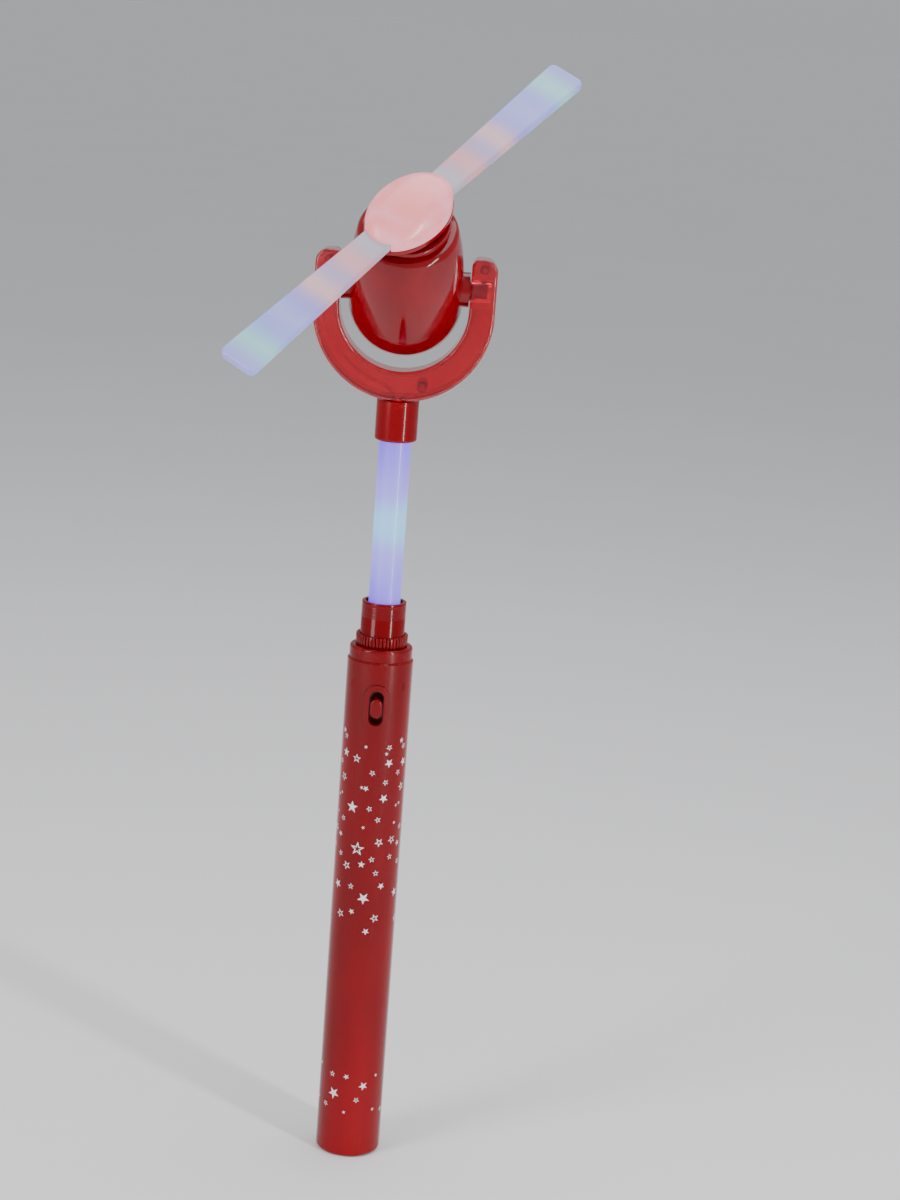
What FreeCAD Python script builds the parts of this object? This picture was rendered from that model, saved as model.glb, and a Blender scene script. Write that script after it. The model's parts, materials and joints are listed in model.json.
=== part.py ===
import FreeCAD, Part
import Sketcher
import math
import os

# Light-up spinner wand: a round handle with batteries and a slide switch, a glowing
# tube, and a U-shaped yoke that carries a tilting motor head with two lit blades.
# Millimetres. The handle's axis is +Z, its flat base is z = 0 and the switch faces -Y.
# The head's own frame has its origin at the tilt pivot and +Z along the blades' shaft.

DRIVING_SIZES = [
    # handle
    ("handle_radius", 12.5),
    ("handle_length", 199.8),
    ("shell_wall", 1.5),
    ("base_thickness", 2.2),
    ("base_rounding", 1.8),
    ("top_bevel", 0.8),
    ("bulkhead_thickness", 1.5),
    ("spring_bulkhead_height", 8.1),
    ("rib_thickness", 1.5),
    ("fixed_clearance", 0.05),
    ("running_clearance", 0.08),
    ("door_clearance", 0.25),
    # cells and their contacts
    ("seam_chamfer", 0.18),
    ("cell_radius", 7.25),
    ("cell_length", 50.5),
    ("cell_nub_radius", 2.75),
    ("cell_nub_height", 1.0),
    ("plate_thickness", 0.4),
    ("spring_height", 5.5),
    ("spring_wire_radius", 0.4),
    ("spring_radius", 4.0),
    ("door_half_width", 8.1),
    # screws
    ("screw_head_radius", 1.8),
    ("screw_head_height", 1.3),
    ("screw_shank_radius", 1.0),
    ("screw_length", 8.5),
    ("boss_radius", 2.2),
    ("screw_seat_depth", 4.0),
    # slide switch
    ("switch_height", 182.4),
    ("bezel_half_width", 4.8),
    ("bezel_half_length", 8.95),
    ("bezel_proud", 0.7),
    ("slot_half_width", 2.75),
    ("slot_half_length", 6.75),
    ("knob_half_width", 2.35),
    ("knob_half_length", 3.75),
    ("knob_proud", 1.5),
    ("knob_rounding", 0.9),
    ("switch_travel", 2.5),
    ("board_thickness", 1.2),
    # collar, lock ring and neck
    ("collar_radius", 11.9),
    ("collar_height", 4.6),
    ("collar_plug_depth", 4.5),
    ("ring_radius", 9.85),
    ("ring_height", 4.3),
    ("ring_rib_count", 44),
    ("neck_radius", 8.4),
    ("neck_length", 17.0),
    ("neck_mouth_gap", 0.95),
    ("neck_mouth_depth", 6.6),
    ("neck_seat_depth", 7.5),
    # light tube and ferrule
    ("tube_radius", 6.05),
    ("tube_wall", 1.1),
    ("tube_visible_length", 61.3),
    ("ferrule_wall", 1.85),
    ("ferrule_length", 15.2),
    ("ferrule_socket_depth", 4.0),
    ("ferrule_web", 2.0),
    # yoke
    ("yoke_side_gap", 2.8),
    ("yoke_arm_thickness", 9.6),
    ("yoke_bottom_thickness", 11.2),
    ("yoke_half_depth", 7.0),
    ("yoke_wall", 1.8),
    ("yoke_edge_rounding", 1.2),
    ("yoke_spigot_radius", 5.5),
    ("yoke_floor_gap", 4.2),
    ("arm_above_pivot", 12.0),
    # motor head
    ("head_tilt", 43.2),
    ("housing_radius", 21.0),
    ("housing_wall", 1.6),
    ("housing_rear", 27.0),
    ("mouth_height", 34.4),
    ("mouth_radius", 15.4),
    ("mouth_bore", 13.2),
    ("ledge_height", 15.0),
    ("ledge_gap", 0.55),
    ("trunnion_radius", 4.0),
    ("shoulder_radius", 6.5),
    ("motor_radius", 10.05),
    ("motor_flat_depth", 2.5),
    ("motor_length", 25.0),
    ("motor_wall", 0.5),
    ("shaft_radius", 1.0),
    # rotor
    ("hub_gap", 1.15),
    ("hub_plate_thickness", 1.6),
    ("hub_boss_depth", 5.6),
    ("slip_board_radius", 7.6),
    ("hub_half_length", 19.0),
    ("hub_half_width", 12.8),
    ("hub_rim", 0.4),
    ("dome_wall", 0.9),
    ("dome_side_height", 4.2),
    ("dome_crown_height", 5.6),
    ("blade_angle", 54.0),
    ("blade_reach", 91.8),
    ("blade_root", 9.5),
    ("blade_root_half_width", 5.5),
    ("blade_tip_half_width", 7.5),
    ("blade_thickness", 3.6),
    ("blade_wall", 0.8),
    ("blade_edge_rounding", 0.9),
    ("led_tip_gap", 11.4),
    ("led_pitch", 16.6),
]

SKETCH_NORMAL = FreeCAD.Vector(0, 0, 1)

document = FreeCAD.newDocument("SpinnerWand")
sheet = document.addObject("Spreadsheet::Sheet", "Sizes")
for row, (alias, amount) in enumerate(DRIVING_SIZES, start=1):
    sheet.set("A%d" % row, alias)
    sheet.set("B%d" % row, str(amount))
    sheet.setAlias("B%d" % row, alias)
document.recompute()


class Size:
    """A length or angle with the sheet expression that it comes from."""

    def __init__(self, amount, text=None):
        self.amount = float(amount)
        self.text = "(%r)" % float(amount) if text is None else text

    def join(self, other, sign, amount, swapped=False):
        first, second = (other, self) if swapped else (self, other)
        return Size(amount, "(%s %s %s)" % (first.text, sign, second.text))

    def __add__(self, other):
        other = as_size(other)
        return self.join(other, "+", self.amount + other.amount)

    def __radd__(self, other):
        return as_size(other) + self

    def __sub__(self, other):
        other = as_size(other)
        return self.join(other, "-", self.amount - other.amount)

    def __rsub__(self, other):
        return as_size(other) - self

    def __mul__(self, other):
        other = as_size(other)
        return self.join(other, "*", self.amount * other.amount)

    def __rmul__(self, other):
        return as_size(other) * self

    def __truediv__(self, other):
        other = as_size(other)
        return self.join(other, "/", self.amount / other.amount)

    def __neg__(self):
        return as_size(0) - self


class Pose:
    """A placement with the sheet expression that it comes from."""

    def __init__(self, value, text):
        self.value = value
        self.text = text

    def __mul__(self, other):
        return Pose(self.value.multiply(other.value), "%s * %s" % (self.text, other.text))


def as_size(thing):
    return thing if isinstance(thing, Size) else Size(thing)


def size(alias):
    return Size(sheet.get(alias), "Sizes." + alias)


def pose(x=0, y=0, z=0, axis=(0, 0, 1), angle=0):
    spot = [as_size(x), as_size(y), as_size(z)]
    turn = as_size(angle)
    rotation = FreeCAD.Rotation(FreeCAD.Vector(*axis), turn.amount)
    value = FreeCAD.Placement(FreeCAD.Vector(*[part.amount for part in spot]), rotation)
    text = "create(<<placement>>; create(<<vector>>; %s; %s; %s); " % tuple(part.text for part in spot)
    text += "create(<<rotation>>; create(<<vector>>; %d; %d; %d); %s))" % (tuple(axis) + (turn.text,))
    return Pose(value, text)


def bind(thing, name, amount):
    """Set a size on an object and tie it to the sheet."""
    amount = as_size(amount)
    setattr(thing, name, amount.amount)
    thing.setExpression(name, amount.text)


def place(thing, where):
    thing.Placement = where.value
    thing.setExpression("Placement", where.text)


subparts = []


def new_body(label):
    body = document.addObject("PartDesign::Body", label)
    body.Label = label
    subparts.append(body)
    return body


def sketch_on(body, role, name, offset=0):
    """A sketch on one of the body's origin planes, moved along the plane's normal."""
    sketch = body.newObject("Sketcher::SketchObject", name)
    plane = next(item for item in body.Origin.OriginFeatures if item.Role == role)
    sketch.AttachmentSupport = [(plane, "")]
    sketch.MapMode = "FlatFace"
    shift = as_size(offset)
    sketch.AttachmentOffset = FreeCAD.Placement(FreeCAD.Vector(0, 0, shift.amount), FreeCAD.Rotation())
    sketch.setExpression("AttachmentOffset.Base.z", shift.text)
    return sketch


def pin_point(sketch, edge, end, x, y):
    """Fix one end of an edge at a place that the sheet gives."""
    for kind, amount in (("DistanceX", as_size(x)), ("DistanceY", as_size(y))):
        index = sketch.addConstraint(Sketcher.Constraint(kind, -1, 1, edge, end, amount.amount))
        sketch.setExpression("Constraints[%d]" % index, amount.text)


def arc_between(start, end, radius, left):
    """The arc from start to end, with its centre on the left or right of the way."""
    chord = end - start
    middle = (start + end) * 0.5
    height = math.sqrt(max(radius * radius - chord.Length * chord.Length / 4.0, 0.0))
    side = FreeCAD.Vector(-chord.y, chord.x, 0)
    side.normalize()
    centre = middle + side * (height if left else -height)
    first, last = (start, end) if left else (end, start)
    low = math.atan2(first.y - centre.y, first.x - centre.x)
    high = math.atan2(last.y - centre.y, last.x - centre.x)
    while high <= low:
        high += 2 * math.pi
    return Part.ArcOfCircle(Part.Circle(centre, SKETCH_NORMAL, radius), low, high)


def outline(sketch, corners):
    """A closed outline. A corner is (x, y), or (x, y, radius, side) when an arc leads to it."""
    spots = []
    for corner in corners:
        spots.append((as_size(corner[0]), as_size(corner[1])))
    points = [FreeCAD.Vector(x.amount, y.amount, 0) for x, y in spots]
    edges = []
    for index, corner in enumerate(corners):
        start = points[index - 1]
        end = points[index]
        if len(corner) == 2:
            edge = sketch.addGeometry(Part.LineSegment(start, end), False)
            edges.append((edge, 1, 2))
            continue
        radius = as_size(corner[2])
        left = corner[3] == "left"
        edge = sketch.addGeometry(arc_between(start, end, radius.amount, left), False)
        edges.append((edge, 1, 2) if left else (edge, 2, 1))
        constraint = sketch.addConstraint(Sketcher.Constraint("Radius", edge, radius.amount))
        sketch.setExpression("Constraints[%d]" % constraint, radius.text)
    for index, (edge, first, last) in enumerate(edges):
        following, its_first, its_last = edges[(index + 1) % len(edges)]
        sketch.addConstraint(Sketcher.Constraint("Coincident", edge, last, following, its_first))
        pin_point(sketch, edge, last, spots[index][0], spots[index][1])


def circle(sketch, x, y, radius):
    radius = as_size(radius)
    centre = FreeCAD.Vector(as_size(x).amount, as_size(y).amount, 0)
    edge = sketch.addGeometry(Part.Circle(centre, SKETCH_NORMAL, radius.amount), False)
    index = sketch.addConstraint(Sketcher.Constraint("Radius", edge, radius.amount))
    sketch.setExpression("Constraints[%d]" % index, radius.text)
    pin_point(sketch, edge, 3, x, y)


def box_outline(sketch, x_low, x_high, y_low, y_high):
    outline(sketch, [(x_low, y_low), (x_high, y_low), (x_high, y_high), (x_low, y_high)])


def slot_outline(sketch, x, y, half_width, half_length):
    """An upright slot with round ends."""
    low = y - (half_length - half_width)
    high = y + (half_length - half_width)
    outline(sketch, [
        (x - half_width, low),
        (x, low - half_width, half_width, "left"),
        (x + half_width, low, half_width, "left"),
        (x + half_width, high),
        (x, high + half_width, half_width, "left"),
        (x - half_width, high, half_width, "left"),
    ])


def half_disc(sketch, radius, side):
    """Half a disc on the +y or -y side of the sketch's x axis."""
    outline(sketch, [
        (radius * side, 0),
        (0, radius * side, radius, "left"),
        (-radius * side, 0, radius, "left"),
    ])


def revolve(body, sketch, name, angle=360.0, reverse=False, groove=False):
    kind = "PartDesign::Groove" if groove else "PartDesign::Revolution"
    feature = body.newObject(kind, name)
    feature.Profile = sketch
    feature.ReferenceAxis = (sketch, ["V_Axis"])
    feature.Angle = angle
    feature.Reversed = reverse
    return feature


def pad(body, sketch, name, length, reverse=False):
    feature = body.newObject("PartDesign::Pad", name)
    feature.Profile = sketch
    bind(feature, "Length", length)
    feature.Reversed = reverse
    return feature


def dress(body, name, amount, wanted, kind="Fillet"):
    """Round or chamfer the edges of the body so far that pass a test on their bounding box."""
    document.recompute()
    base = body.Tip
    edges = []
    for number, edge in enumerate(base.Shape.Edges, start=1):
        if wanted(edge.BoundBox):
            edges.append("Edge%d" % number)
    feature = body.newObject("PartDesign::" + kind, name)
    feature.Base = (base, edges)
    bind(feature, "Radius" if kind == "Fillet" else "Size", amount)
    return feature


def pocket(body, sketch, name, length, reverse=False):
    """Cut along the sketch's normal, or against it when reversed."""
    feature = body.newObject("PartDesign::Pocket", name)
    feature.Profile = sketch
    bind(feature, "Length", length)
    feature.Reversed = not reverse
    return feature


def turned(label, corners, where=None, angle=360.0, reverse=False):
    """A piece turned from a radius and height outline."""
    body = new_body(label)
    sketch = sketch_on(body, "XZ_Plane", label + "_profile")
    outline(sketch, corners)
    revolve(body, sketch, label + "_turn", angle, reverse)
    if where is not None:
        place(body, where)
    return body


def primitive(kind, name, where, **sizes):
    thing = document.addObject("Part::" + kind, name)
    for key, amount in sizes.items():
        bind(thing, key, amount)
    place(thing, where)
    return thing


def block(name, frame, x, y, z):
    """A box from its low and high ends along each axis of a frame."""
    return primitive(
        "Box", name, frame * pose(x[0], y[0], z[0]),
        Length=as_size(x[1]) - x[0], Width=as_size(y[1]) - y[0], Height=as_size(z[1]) - z[0])


def group(label, pieces):
    """Identical loose pieces kept in one node as separate solids."""
    bundle = document.addObject("Part::Compound", label)
    bundle.Label = label
    bundle.Links = pieces
    subparts.append(bundle)
    return bundle


def named(thing, label):
    thing.Label = label
    subparts.append(thing)
    return thing


WORLD = pose()

# ---------------------------------------------------------------- sizes and levels
handle_radius = size("handle_radius")
handle_top = size("handle_length")
shell_wall = size("shell_wall")
inner_radius = handle_radius - shell_wall
fixed_gap = size("fixed_clearance")
running_gap = size("running_clearance")
plate = size("plate_thickness")
bulkhead = size("bulkhead_thickness")

bay_bottom = size("spring_bulkhead_height") + bulkhead
first_cell = bay_bottom + plate + size("spring_height")
cell_length = size("cell_length")
cells_top = first_cell + 3 * cell_length
bay_top = cells_top + plate
board_bottom = bay_top + bulkhead

collar_top = handle_top + size("collar_height")
plug_bottom = handle_top - size("collar_plug_depth")
neck_bottom = collar_top - size("neck_seat_depth")
neck_top = collar_top + size("neck_length")
neck_radius = size("neck_radius")
tube_radius = size("tube_radius")
tube_bottom = neck_bottom + 5
ferrule_bottom = neck_top + size("tube_visible_length")
ferrule_top = ferrule_bottom + size("ferrule_length")
tube_top = ferrule_bottom + size("ferrule_socket_depth")

yoke_base = ferrule_top
yoke_inner = size("housing_radius") + size("yoke_side_gap")
yoke_outer = yoke_inner + size("yoke_arm_thickness")
yoke_outer_centre = yoke_base + yoke_outer
yoke_inner_centre = yoke_base + size("yoke_bottom_thickness") + yoke_inner
pivot_height = yoke_base + size("yoke_bottom_thickness") + size("yoke_floor_gap") + size("housing_rear")
arm_top = pivot_height + size("arm_above_pivot")
yoke_depth = size("yoke_half_depth")
yoke_wall = size("yoke_wall")

HEAD = pose(0, 0, pivot_height, (1, 0, 0), size("head_tilt"))
ROTOR = HEAD * pose(0, 0, 0, (0, 0, 1), size("blade_angle"))

screw_head = size("screw_head_radius")
screw_shank = size("screw_shank_radius")
boss_radius = size("boss_radius")
screw_seat = size("screw_seat_depth")


def screw(name, where, length, scale=1.0):
    """A pan-head screw: its seat at the frame's origin, its head towards +Z."""
    head_radius = screw_head * scale
    head_height = size("screw_head_height") * scale
    shank = primitive("Cylinder", name + "_shank", where * pose(0, 0, -as_size(length)),
                      Radius=screw_shank * scale, Height=length)
    head = primitive("Cylinder", name + "_head", where, Radius=head_radius, Height=head_height)
    solid = document.addObject("Part::MultiFuse", name + "_solid")
    solid.Shapes = [shank, head]
    reach = head_radius * 0.62
    width = 0.22 * scale
    recess = [
        block(name + "_recess_a", where, (-reach, reach), (-width, width),
              (head_height * 0.4, head_height * 1.2)),
        block(name + "_recess_b", where, (-width, width), (-reach, reach),
              (head_height * 0.4, head_height * 1.2)),
    ]
    cross = document.addObject("Part::MultiFuse", name + "_cross")
    cross.Shapes = recess
    finished = document.addObject("Part::Cut", name)
    finished.Base = solid
    finished.Tool = cross
    return finished


def screw_group(label, places, frame, turn, length, scale=1.0):
    pieces = []
    for index, (x, y, z) in enumerate(places):
        where = frame * pose(x, y, z) * turn
        pieces.append(screw("%s_%d" % (label, index + 1), where, length, scale))
    return group(label, pieces)


FACING_BACK = pose(0, 0, 0, (1, 0, 0), -90)
FACING_DOWN = pose(0, 0, 0, (1, 0, 0), 180)

# ---------------------------------------------------------------- handle shells
shell_screws = [
    (-8.0, size("switch_height") + 8.0), (8.0, size("switch_height") + 8.0), (0.0, as_size(5.2))]
RIB_COUNT = 5


def handle_shell(label, front):
    """One half of the round handle, closed at the base, with its bulkheads and bosses."""
    rounding = size("base_rounding")
    bevel = size("top_bevel")
    body = new_body(label)
    profile = sketch_on(body, "XZ_Plane", label + "_profile")
    outline(profile, [
        (0, 0),
        (handle_radius - rounding, 0),
        (handle_radius, rounding, rounding, "left"),
        (handle_radius, handle_top - bevel),
        (handle_radius - bevel, handle_top),
        (inner_radius, handle_top),
        (inner_radius, bay_top + bulkhead),
        (0, bay_top + bulkhead),
        (0, bay_top),
        (inner_radius, bay_top),
        (inner_radius, bay_bottom),
        (0, bay_bottom),
        (0, bay_bottom - bulkhead),
        (inner_radius, bay_bottom - bulkhead),
        (inner_radius, size("base_thickness")),
        (0, size("base_thickness")),
    ])
    revolve(body, profile, label + "_wall", 180.0, front)
    radius = handle_radius.amount
    dress(body, label + "_seam", size("seam_chamfer"), lambda box: box.ZLength > radius * 4 and (
        abs(box.XMin) > radius - 0.01 and abs(box.XMax) > radius - 0.01), "Chamfer")
    for index, (x, z) in enumerate(shell_screws):
        boss = sketch_on(body, "XZ_Plane", "%s_boss_%d" % (label, index))
        circle(boss, x, z, boss_radius)
        reach = inner_radius if index == 2 else handle_radius - 4.0
        pad(body, boss, "%s_boss_pad_%d" % (label, index), reach, not front)
    return body


front_shell = handle_shell("handle_front_shell", True)
for index in range(RIB_COUNT):
    rib_height = first_cell + cell_length * (3.0 * (index + 0.5) / RIB_COUNT)
    rib = sketch_on(front_shell, "XZ_Plane", "cradle_rib_%d" % index)
    box_outline(rib, size("cell_radius") + 0.15, inner_radius + 0.3,
                rib_height, rib_height + size("rib_thickness"))
    revolve(front_shell, rib, "cradle_rib_turn_%d" % index, 180.0, True)
bezel_hole = sketch_on(front_shell, "XZ_Plane", "bezel_hole", inner_radius - 4)
slot_outline(bezel_hole, as_size(0), size("switch_height"),
             size("bezel_half_width") + fixed_gap, size("bezel_half_length") + fixed_gap)
pocket(front_shell, bezel_hole, "bezel_cut", handle_radius)
for index, (x, z) in enumerate(shell_screws):
    pilot = sketch_on(front_shell, "XZ_Plane", "pilot_%d" % index)
    circle(pilot, x, z, screw_shank + fixed_gap)
    pocket(front_shell, pilot, "pilot_cut_%d" % index, size("screw_length") - screw_seat + 0.5)

# The back shell has the cell bay's door opening and, above it, a bridge for the door's screw.
door_half = size("door_half_width")
door_bottom = bay_bottom + 3.0
door_top = board_bottom + 7.5
door_screw_height = board_bottom + 3.6
BRIDGE_HALF_HEIGHT = 2.1
bridge_low = 2.6
bridge_high = 5.0

back_shell = handle_shell("handle_back_shell", False)
door_opening = sketch_on(back_shell, "XZ_Plane", "door_opening", -1.0)
door_gap = size("door_clearance")
box_outline(door_opening, -(door_half + door_gap), door_half + door_gap,
            door_bottom - door_gap, door_top + door_gap)
pocket(back_shell, door_opening, "door_cut", handle_radius * 1.2, True)
upper_wall = sketch_on(back_shell, "XZ_Plane", "bay_top_wall")
box_outline(upper_wall, -(inner_radius - 0.6), inner_radius - 0.6, bay_top, bay_top + bulkhead)
pad(back_shell, upper_wall, "bay_top_wall_pad", bridge_high - 1.0, True)
bridge = sketch_on(back_shell, "XZ_Plane", "door_bridge", -bridge_low)
box_outline(bridge, -(inner_radius - 0.4), inner_radius - 0.4,
            door_screw_height - BRIDGE_HALF_HEIGHT, door_screw_height + BRIDGE_HALF_HEIGHT)
pad(back_shell, bridge, "door_bridge_pad", bridge_high - bridge_low, True)
bridge_hole = sketch_on(back_shell, "XZ_Plane", "bridge_hole")
circle(bridge_hole, 0, door_screw_height, screw_shank + running_gap)
pocket(back_shell, bridge_hole, "bridge_hole_cut", bridge_high + 1.0, True)
lead_hole = sketch_on(back_shell, "XY_Plane", "lead_hole", bay_top - 1.0)
circle(lead_hole, inner_radius - 1.9, 1.5, 0.9)
pocket(back_shell, lead_hole, "lead_hole_cut", 3.6)
for index, (x, z) in enumerate(shell_screws):
    well = sketch_on(back_shell, "XZ_Plane", "screw_well_%d" % index, -screw_seat)
    circle(well, x, z, screw_head + 0.1)
    pocket(back_shell, well, "screw_well_cut_%d" % index, handle_radius, True)
    through = sketch_on(back_shell, "XZ_Plane", "screw_way_%d" % index)
    circle(through, x, z, screw_shank + 0.1)
    pocket(back_shell, through, "screw_way_cut_%d" % index, screw_seat + 1.0, True)

screw_group("handle_screws", [(x, screw_seat, z) for x, z in shell_screws],
            WORLD, FACING_BACK, size("screw_length"))

# ---------------------------------------------------------------- battery door
door = new_body("battery_door")
door_profile = sketch_on(door, "XZ_Plane", "door_profile")
box_outline(door_profile, inner_radius, handle_radius, door_bottom, door_top)
revolve(door, door_profile, "door_wall", 180.0)
for side in (-1, 1):
    trim = sketch_on(door, "XZ_Plane", "door_trim_%d" % (side + 1), 1.0)
    box_outline(trim, side * door_half, side * (handle_radius + 2.0), door_bottom - 1.0, door_top + 1.0)
    pocket(door, trim, "door_trim_cut_%d" % (side + 1), handle_radius + 3.0, True)
door_boss = sketch_on(door, "XZ_Plane", "door_boss", -(bridge_high + 0.1))
circle(door_boss, 0, door_screw_height, boss_radius + 0.6)
pad(door, door_boss, "door_boss_pad", inner_radius - bridge_high, True)
door_well = sketch_on(door, "XZ_Plane", "door_well", -(bridge_high + 1.7))
circle(door_well, 0, door_screw_height, screw_head + 0.1)
pocket(door, door_well, "door_well_cut", handle_radius, True)
door_way = sketch_on(door, "XZ_Plane", "door_way", -(bridge_high - 1.0))
circle(door_way, 0, door_screw_height, screw_shank + fixed_gap)
pocket(door, door_way, "door_way_cut", 4.0, True)
for step in range(4):
    groove = sketch_on(door, "XZ_Plane", "thumb_groove_%d" % step)
    low = door_top - 12.0 - 2.0 * step - 6.0
    box_outline(groove, handle_radius - 0.35, handle_radius + 0.5, low, low + 0.8)
    revolve(door, groove, "thumb_groove_cut_%d" % step, 180.0, False, True)
named(screw("door_screw_piece", pose(0, bridge_high + 1.7, door_screw_height) * FACING_BACK, as_size(5.2)),
      "battery_door_screw")

# ---------------------------------------------------------------- cells and contacts
for number in (1, 2, 3):
    low = first_cell + (number - 1) * cell_length
    shoulder = low + cell_length - size("cell_nub_height")
    turned("battery_cell_%d" % number, [
        (0, low),
        (size("cell_radius") - 0.5, low),
        (size("cell_radius"), low + 0.5),
        (size("cell_radius"), shoulder - 0.5),
        (size("cell_radius") - 0.5, shoulder),
        (size("cell_nub_radius"), shoulder),
        (size("cell_nub_radius"), shoulder + size("cell_nub_height")),
        (0, shoulder + size("cell_nub_height")),
    ])

def round_plate(label, radius, low):
    """A plated disc at one end of the row of cells."""
    turned(label, [(0, low), (radius, low), (radius, low + plate), (0, low + plate)])


round_plate("spring_plate", 7.4, bay_bottom)
round_plate("contact_plate", 7.0, cells_top)


spring = new_body("battery_spring")
spring_wire = sketch_on(spring, "XZ_Plane", "spring_wire")
wire_radius = size("spring_wire_radius")
circle(spring_wire, size("spring_radius"), bay_bottom + plate + wire_radius, wire_radius)
coil = spring.newObject("PartDesign::AdditiveHelix", "spring_coil")
coil.Profile = spring_wire
coil.ReferenceAxis = (spring_wire, ["V_Axis"])
coil.Mode = "height-turns-angle"
bind(coil, "Height", size("spring_height") - 2 * wire_radius)
coil.Turns = 3.5

# ---------------------------------------------------------------- slide switch
switch_height = size("switch_height")
bezel_flange_front = inner_radius - 1.8
bezel_flange_back = bezel_flange_front - 1.0
bezel = new_body("switch_bezel")
bezel_face = sketch_on(bezel, "XZ_Plane", "bezel_face", bezel_flange_front)
slot_outline(bezel_face, as_size(0), switch_height, size("bezel_half_width"), size("bezel_half_length"))
pad(bezel, bezel_face, "bezel_pad", handle_radius + size("bezel_proud") - bezel_flange_front)
bezel_round = sketch_on(bezel, "XZ_Plane", "bezel_round")
box_outline(bezel_round, handle_radius + size("bezel_proud") - 0.01, handle_radius + 6.0,
            switch_height - 14.0, switch_height + 14.0)
revolve(bezel, bezel_round, "bezel_round_cut", 180.0, True, True)
bezel_flange = sketch_on(bezel, "XZ_Plane", "bezel_flange", bezel_flange_back)
slot_outline(bezel_flange, as_size(0), switch_height, size("bezel_half_width") + 0.9,
             size("bezel_half_length") + 0.9)
pad(bezel, bezel_flange, "bezel_flange_pad", bezel_flange_front - bezel_flange_back)
bezel_slot = sketch_on(bezel, "XZ_Plane", "bezel_slot", bezel_flange_back - 1.0)
slot_outline(bezel_slot, as_size(0), switch_height, size("slot_half_width"), size("slot_half_length"))
pocket(bezel, bezel_slot, "bezel_slot_cut", handle_radius)

slide_front = bezel_flange_back - 0.1
slide_back = slide_front - 0.8
knob = new_body("switch_knob")
slide_plate = sketch_on(knob, "XZ_Plane", "slide_plate", slide_back)
slot_outline(slide_plate, as_size(0), switch_height, size("slot_half_width") + 0.4,
             size("slot_half_length") + size("switch_travel") + 0.3)
pad(knob, slide_plate, "slide_plate_pad", slide_front - slide_back)
knob_face = sketch_on(knob, "XZ_Plane", "knob_face", slide_front - 0.2)
slot_outline(knob_face, as_size(0), switch_height, size("knob_half_width"), size("knob_half_length"))
pad(knob, knob_face, "knob_pad", handle_radius + size("knob_proud") - slide_front + 0.2)
knob_face_depth = (handle_radius + size("knob_proud")).amount
dress(knob, "knob_rounding", size("knob_rounding"), lambda box: box.YMax < 0.01 - knob_face_depth)

switch_front = slide_back - 0.5
switch_back = switch_front - 4.0
can = new_body("switch_body")
can_face = sketch_on(can, "XZ_Plane", "can_face", switch_back)
box_outline(can_face, -2.9, 2.9, switch_height - 4.7, switch_height + 4.7)
pad(can, can_face, "can_pad", switch_front - switch_back)
can_slot = sketch_on(can, "XZ_Plane", "can_slot", switch_front - 1.6)
box_outline(can_slot, -1.2, 1.2, switch_height - 1.2 - size("switch_travel") - 0.3,
            switch_height + 1.2 + size("switch_travel") + 0.3)
pocket(can, can_slot, "can_slot_cut", 3.0)
named(block("switch_lever_block", WORLD, (-1.0, 1.0), (-slide_back, -(switch_front - 1.4)),
            (switch_height - 1.2, switch_height + 1.2)), "switch_lever")

board_front = switch_back
board_back = board_front - size("board_thickness")
board_top = switch_height + 10.2
named(block("board_block", WORLD, (-5.4, 5.4), (-board_front, -board_back), (board_bottom, board_top)),
      "control_board")
named(block("chip_block", WORLD, (-2.4, 2.4), (-board_back, -board_back + 1.3),
            (switch_height + 3.0, switch_height + 8.5)), "control_chip")
group("board_resistors", [
    block("resistor_%d" % step, WORLD, (-4.9 + 1.9 * step, -3.9 + 1.9 * step),
          (-board_back, -board_back + 0.6), (board_bottom + 0.8, board_bottom + 2.8))
    for step in range(4)])

# ---------------------------------------------------------------- collar, lock ring, neck
turned("handle_collar", [
    (5.0, plug_bottom),
    (inner_radius - fixed_gap, plug_bottom),
    (inner_radius - fixed_gap, handle_top),
    (size("collar_radius"), handle_top),
    (size("collar_radius"), collar_top - 0.9),
    (size("collar_radius") - 0.9, collar_top, 0.9, "left"),
    (neck_radius + fixed_gap, collar_top),
    (neck_radius + fixed_gap, neck_bottom),
    (5.0, neck_bottom),
])

ring_bottom = collar_top + 0.1
ring_top = ring_bottom + size("ring_height")
ring = new_body("lock_ring")
ring_profile = sketch_on(ring, "XZ_Plane", "ring_profile")
outline(ring_profile, [
    (neck_radius + running_gap, ring_bottom),
    (size("ring_radius"), ring_bottom),
    (size("ring_radius"), ring_top - 0.5),
    (size("ring_radius") - 0.5, ring_top),
    (neck_radius + running_gap, ring_top),
])
revolve(ring, ring_profile, "ring_turn")
flute = sketch_on(ring, "XY_Plane", "ring_flute", ring_bottom - 1.0)
circle(flute, size("ring_radius") + 0.12, 0, 0.42)
flute_cut = pocket(ring, flute, "ring_flute_cut", size("ring_height") + 3.0)
flutes = ring.newObject("PartDesign::PolarPattern", "ring_flutes")
flutes.Originals = [flute_cut]
flutes.Axis = (flute, ["N_Axis"])
flutes.Angle = 360.0
flutes.Occurrences = int(size("ring_rib_count").amount)
ring.Tip = flutes

seat_bore = tube_radius + fixed_gap
mouth_bore = tube_radius + size("neck_mouth_gap")
turned("neck_sleeve", [
    (4.4, neck_bottom),
    (neck_radius, neck_bottom),
    (neck_radius, neck_top - 0.3),
    (neck_radius - 0.3, neck_top),
    (mouth_bore, neck_top),
    (mouth_bore, neck_top - size("neck_mouth_depth")),
    (seat_bore, neck_top - size("neck_mouth_depth")),
    (seat_bore, tube_bottom),
    (4.4, tube_bottom),
])

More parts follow.
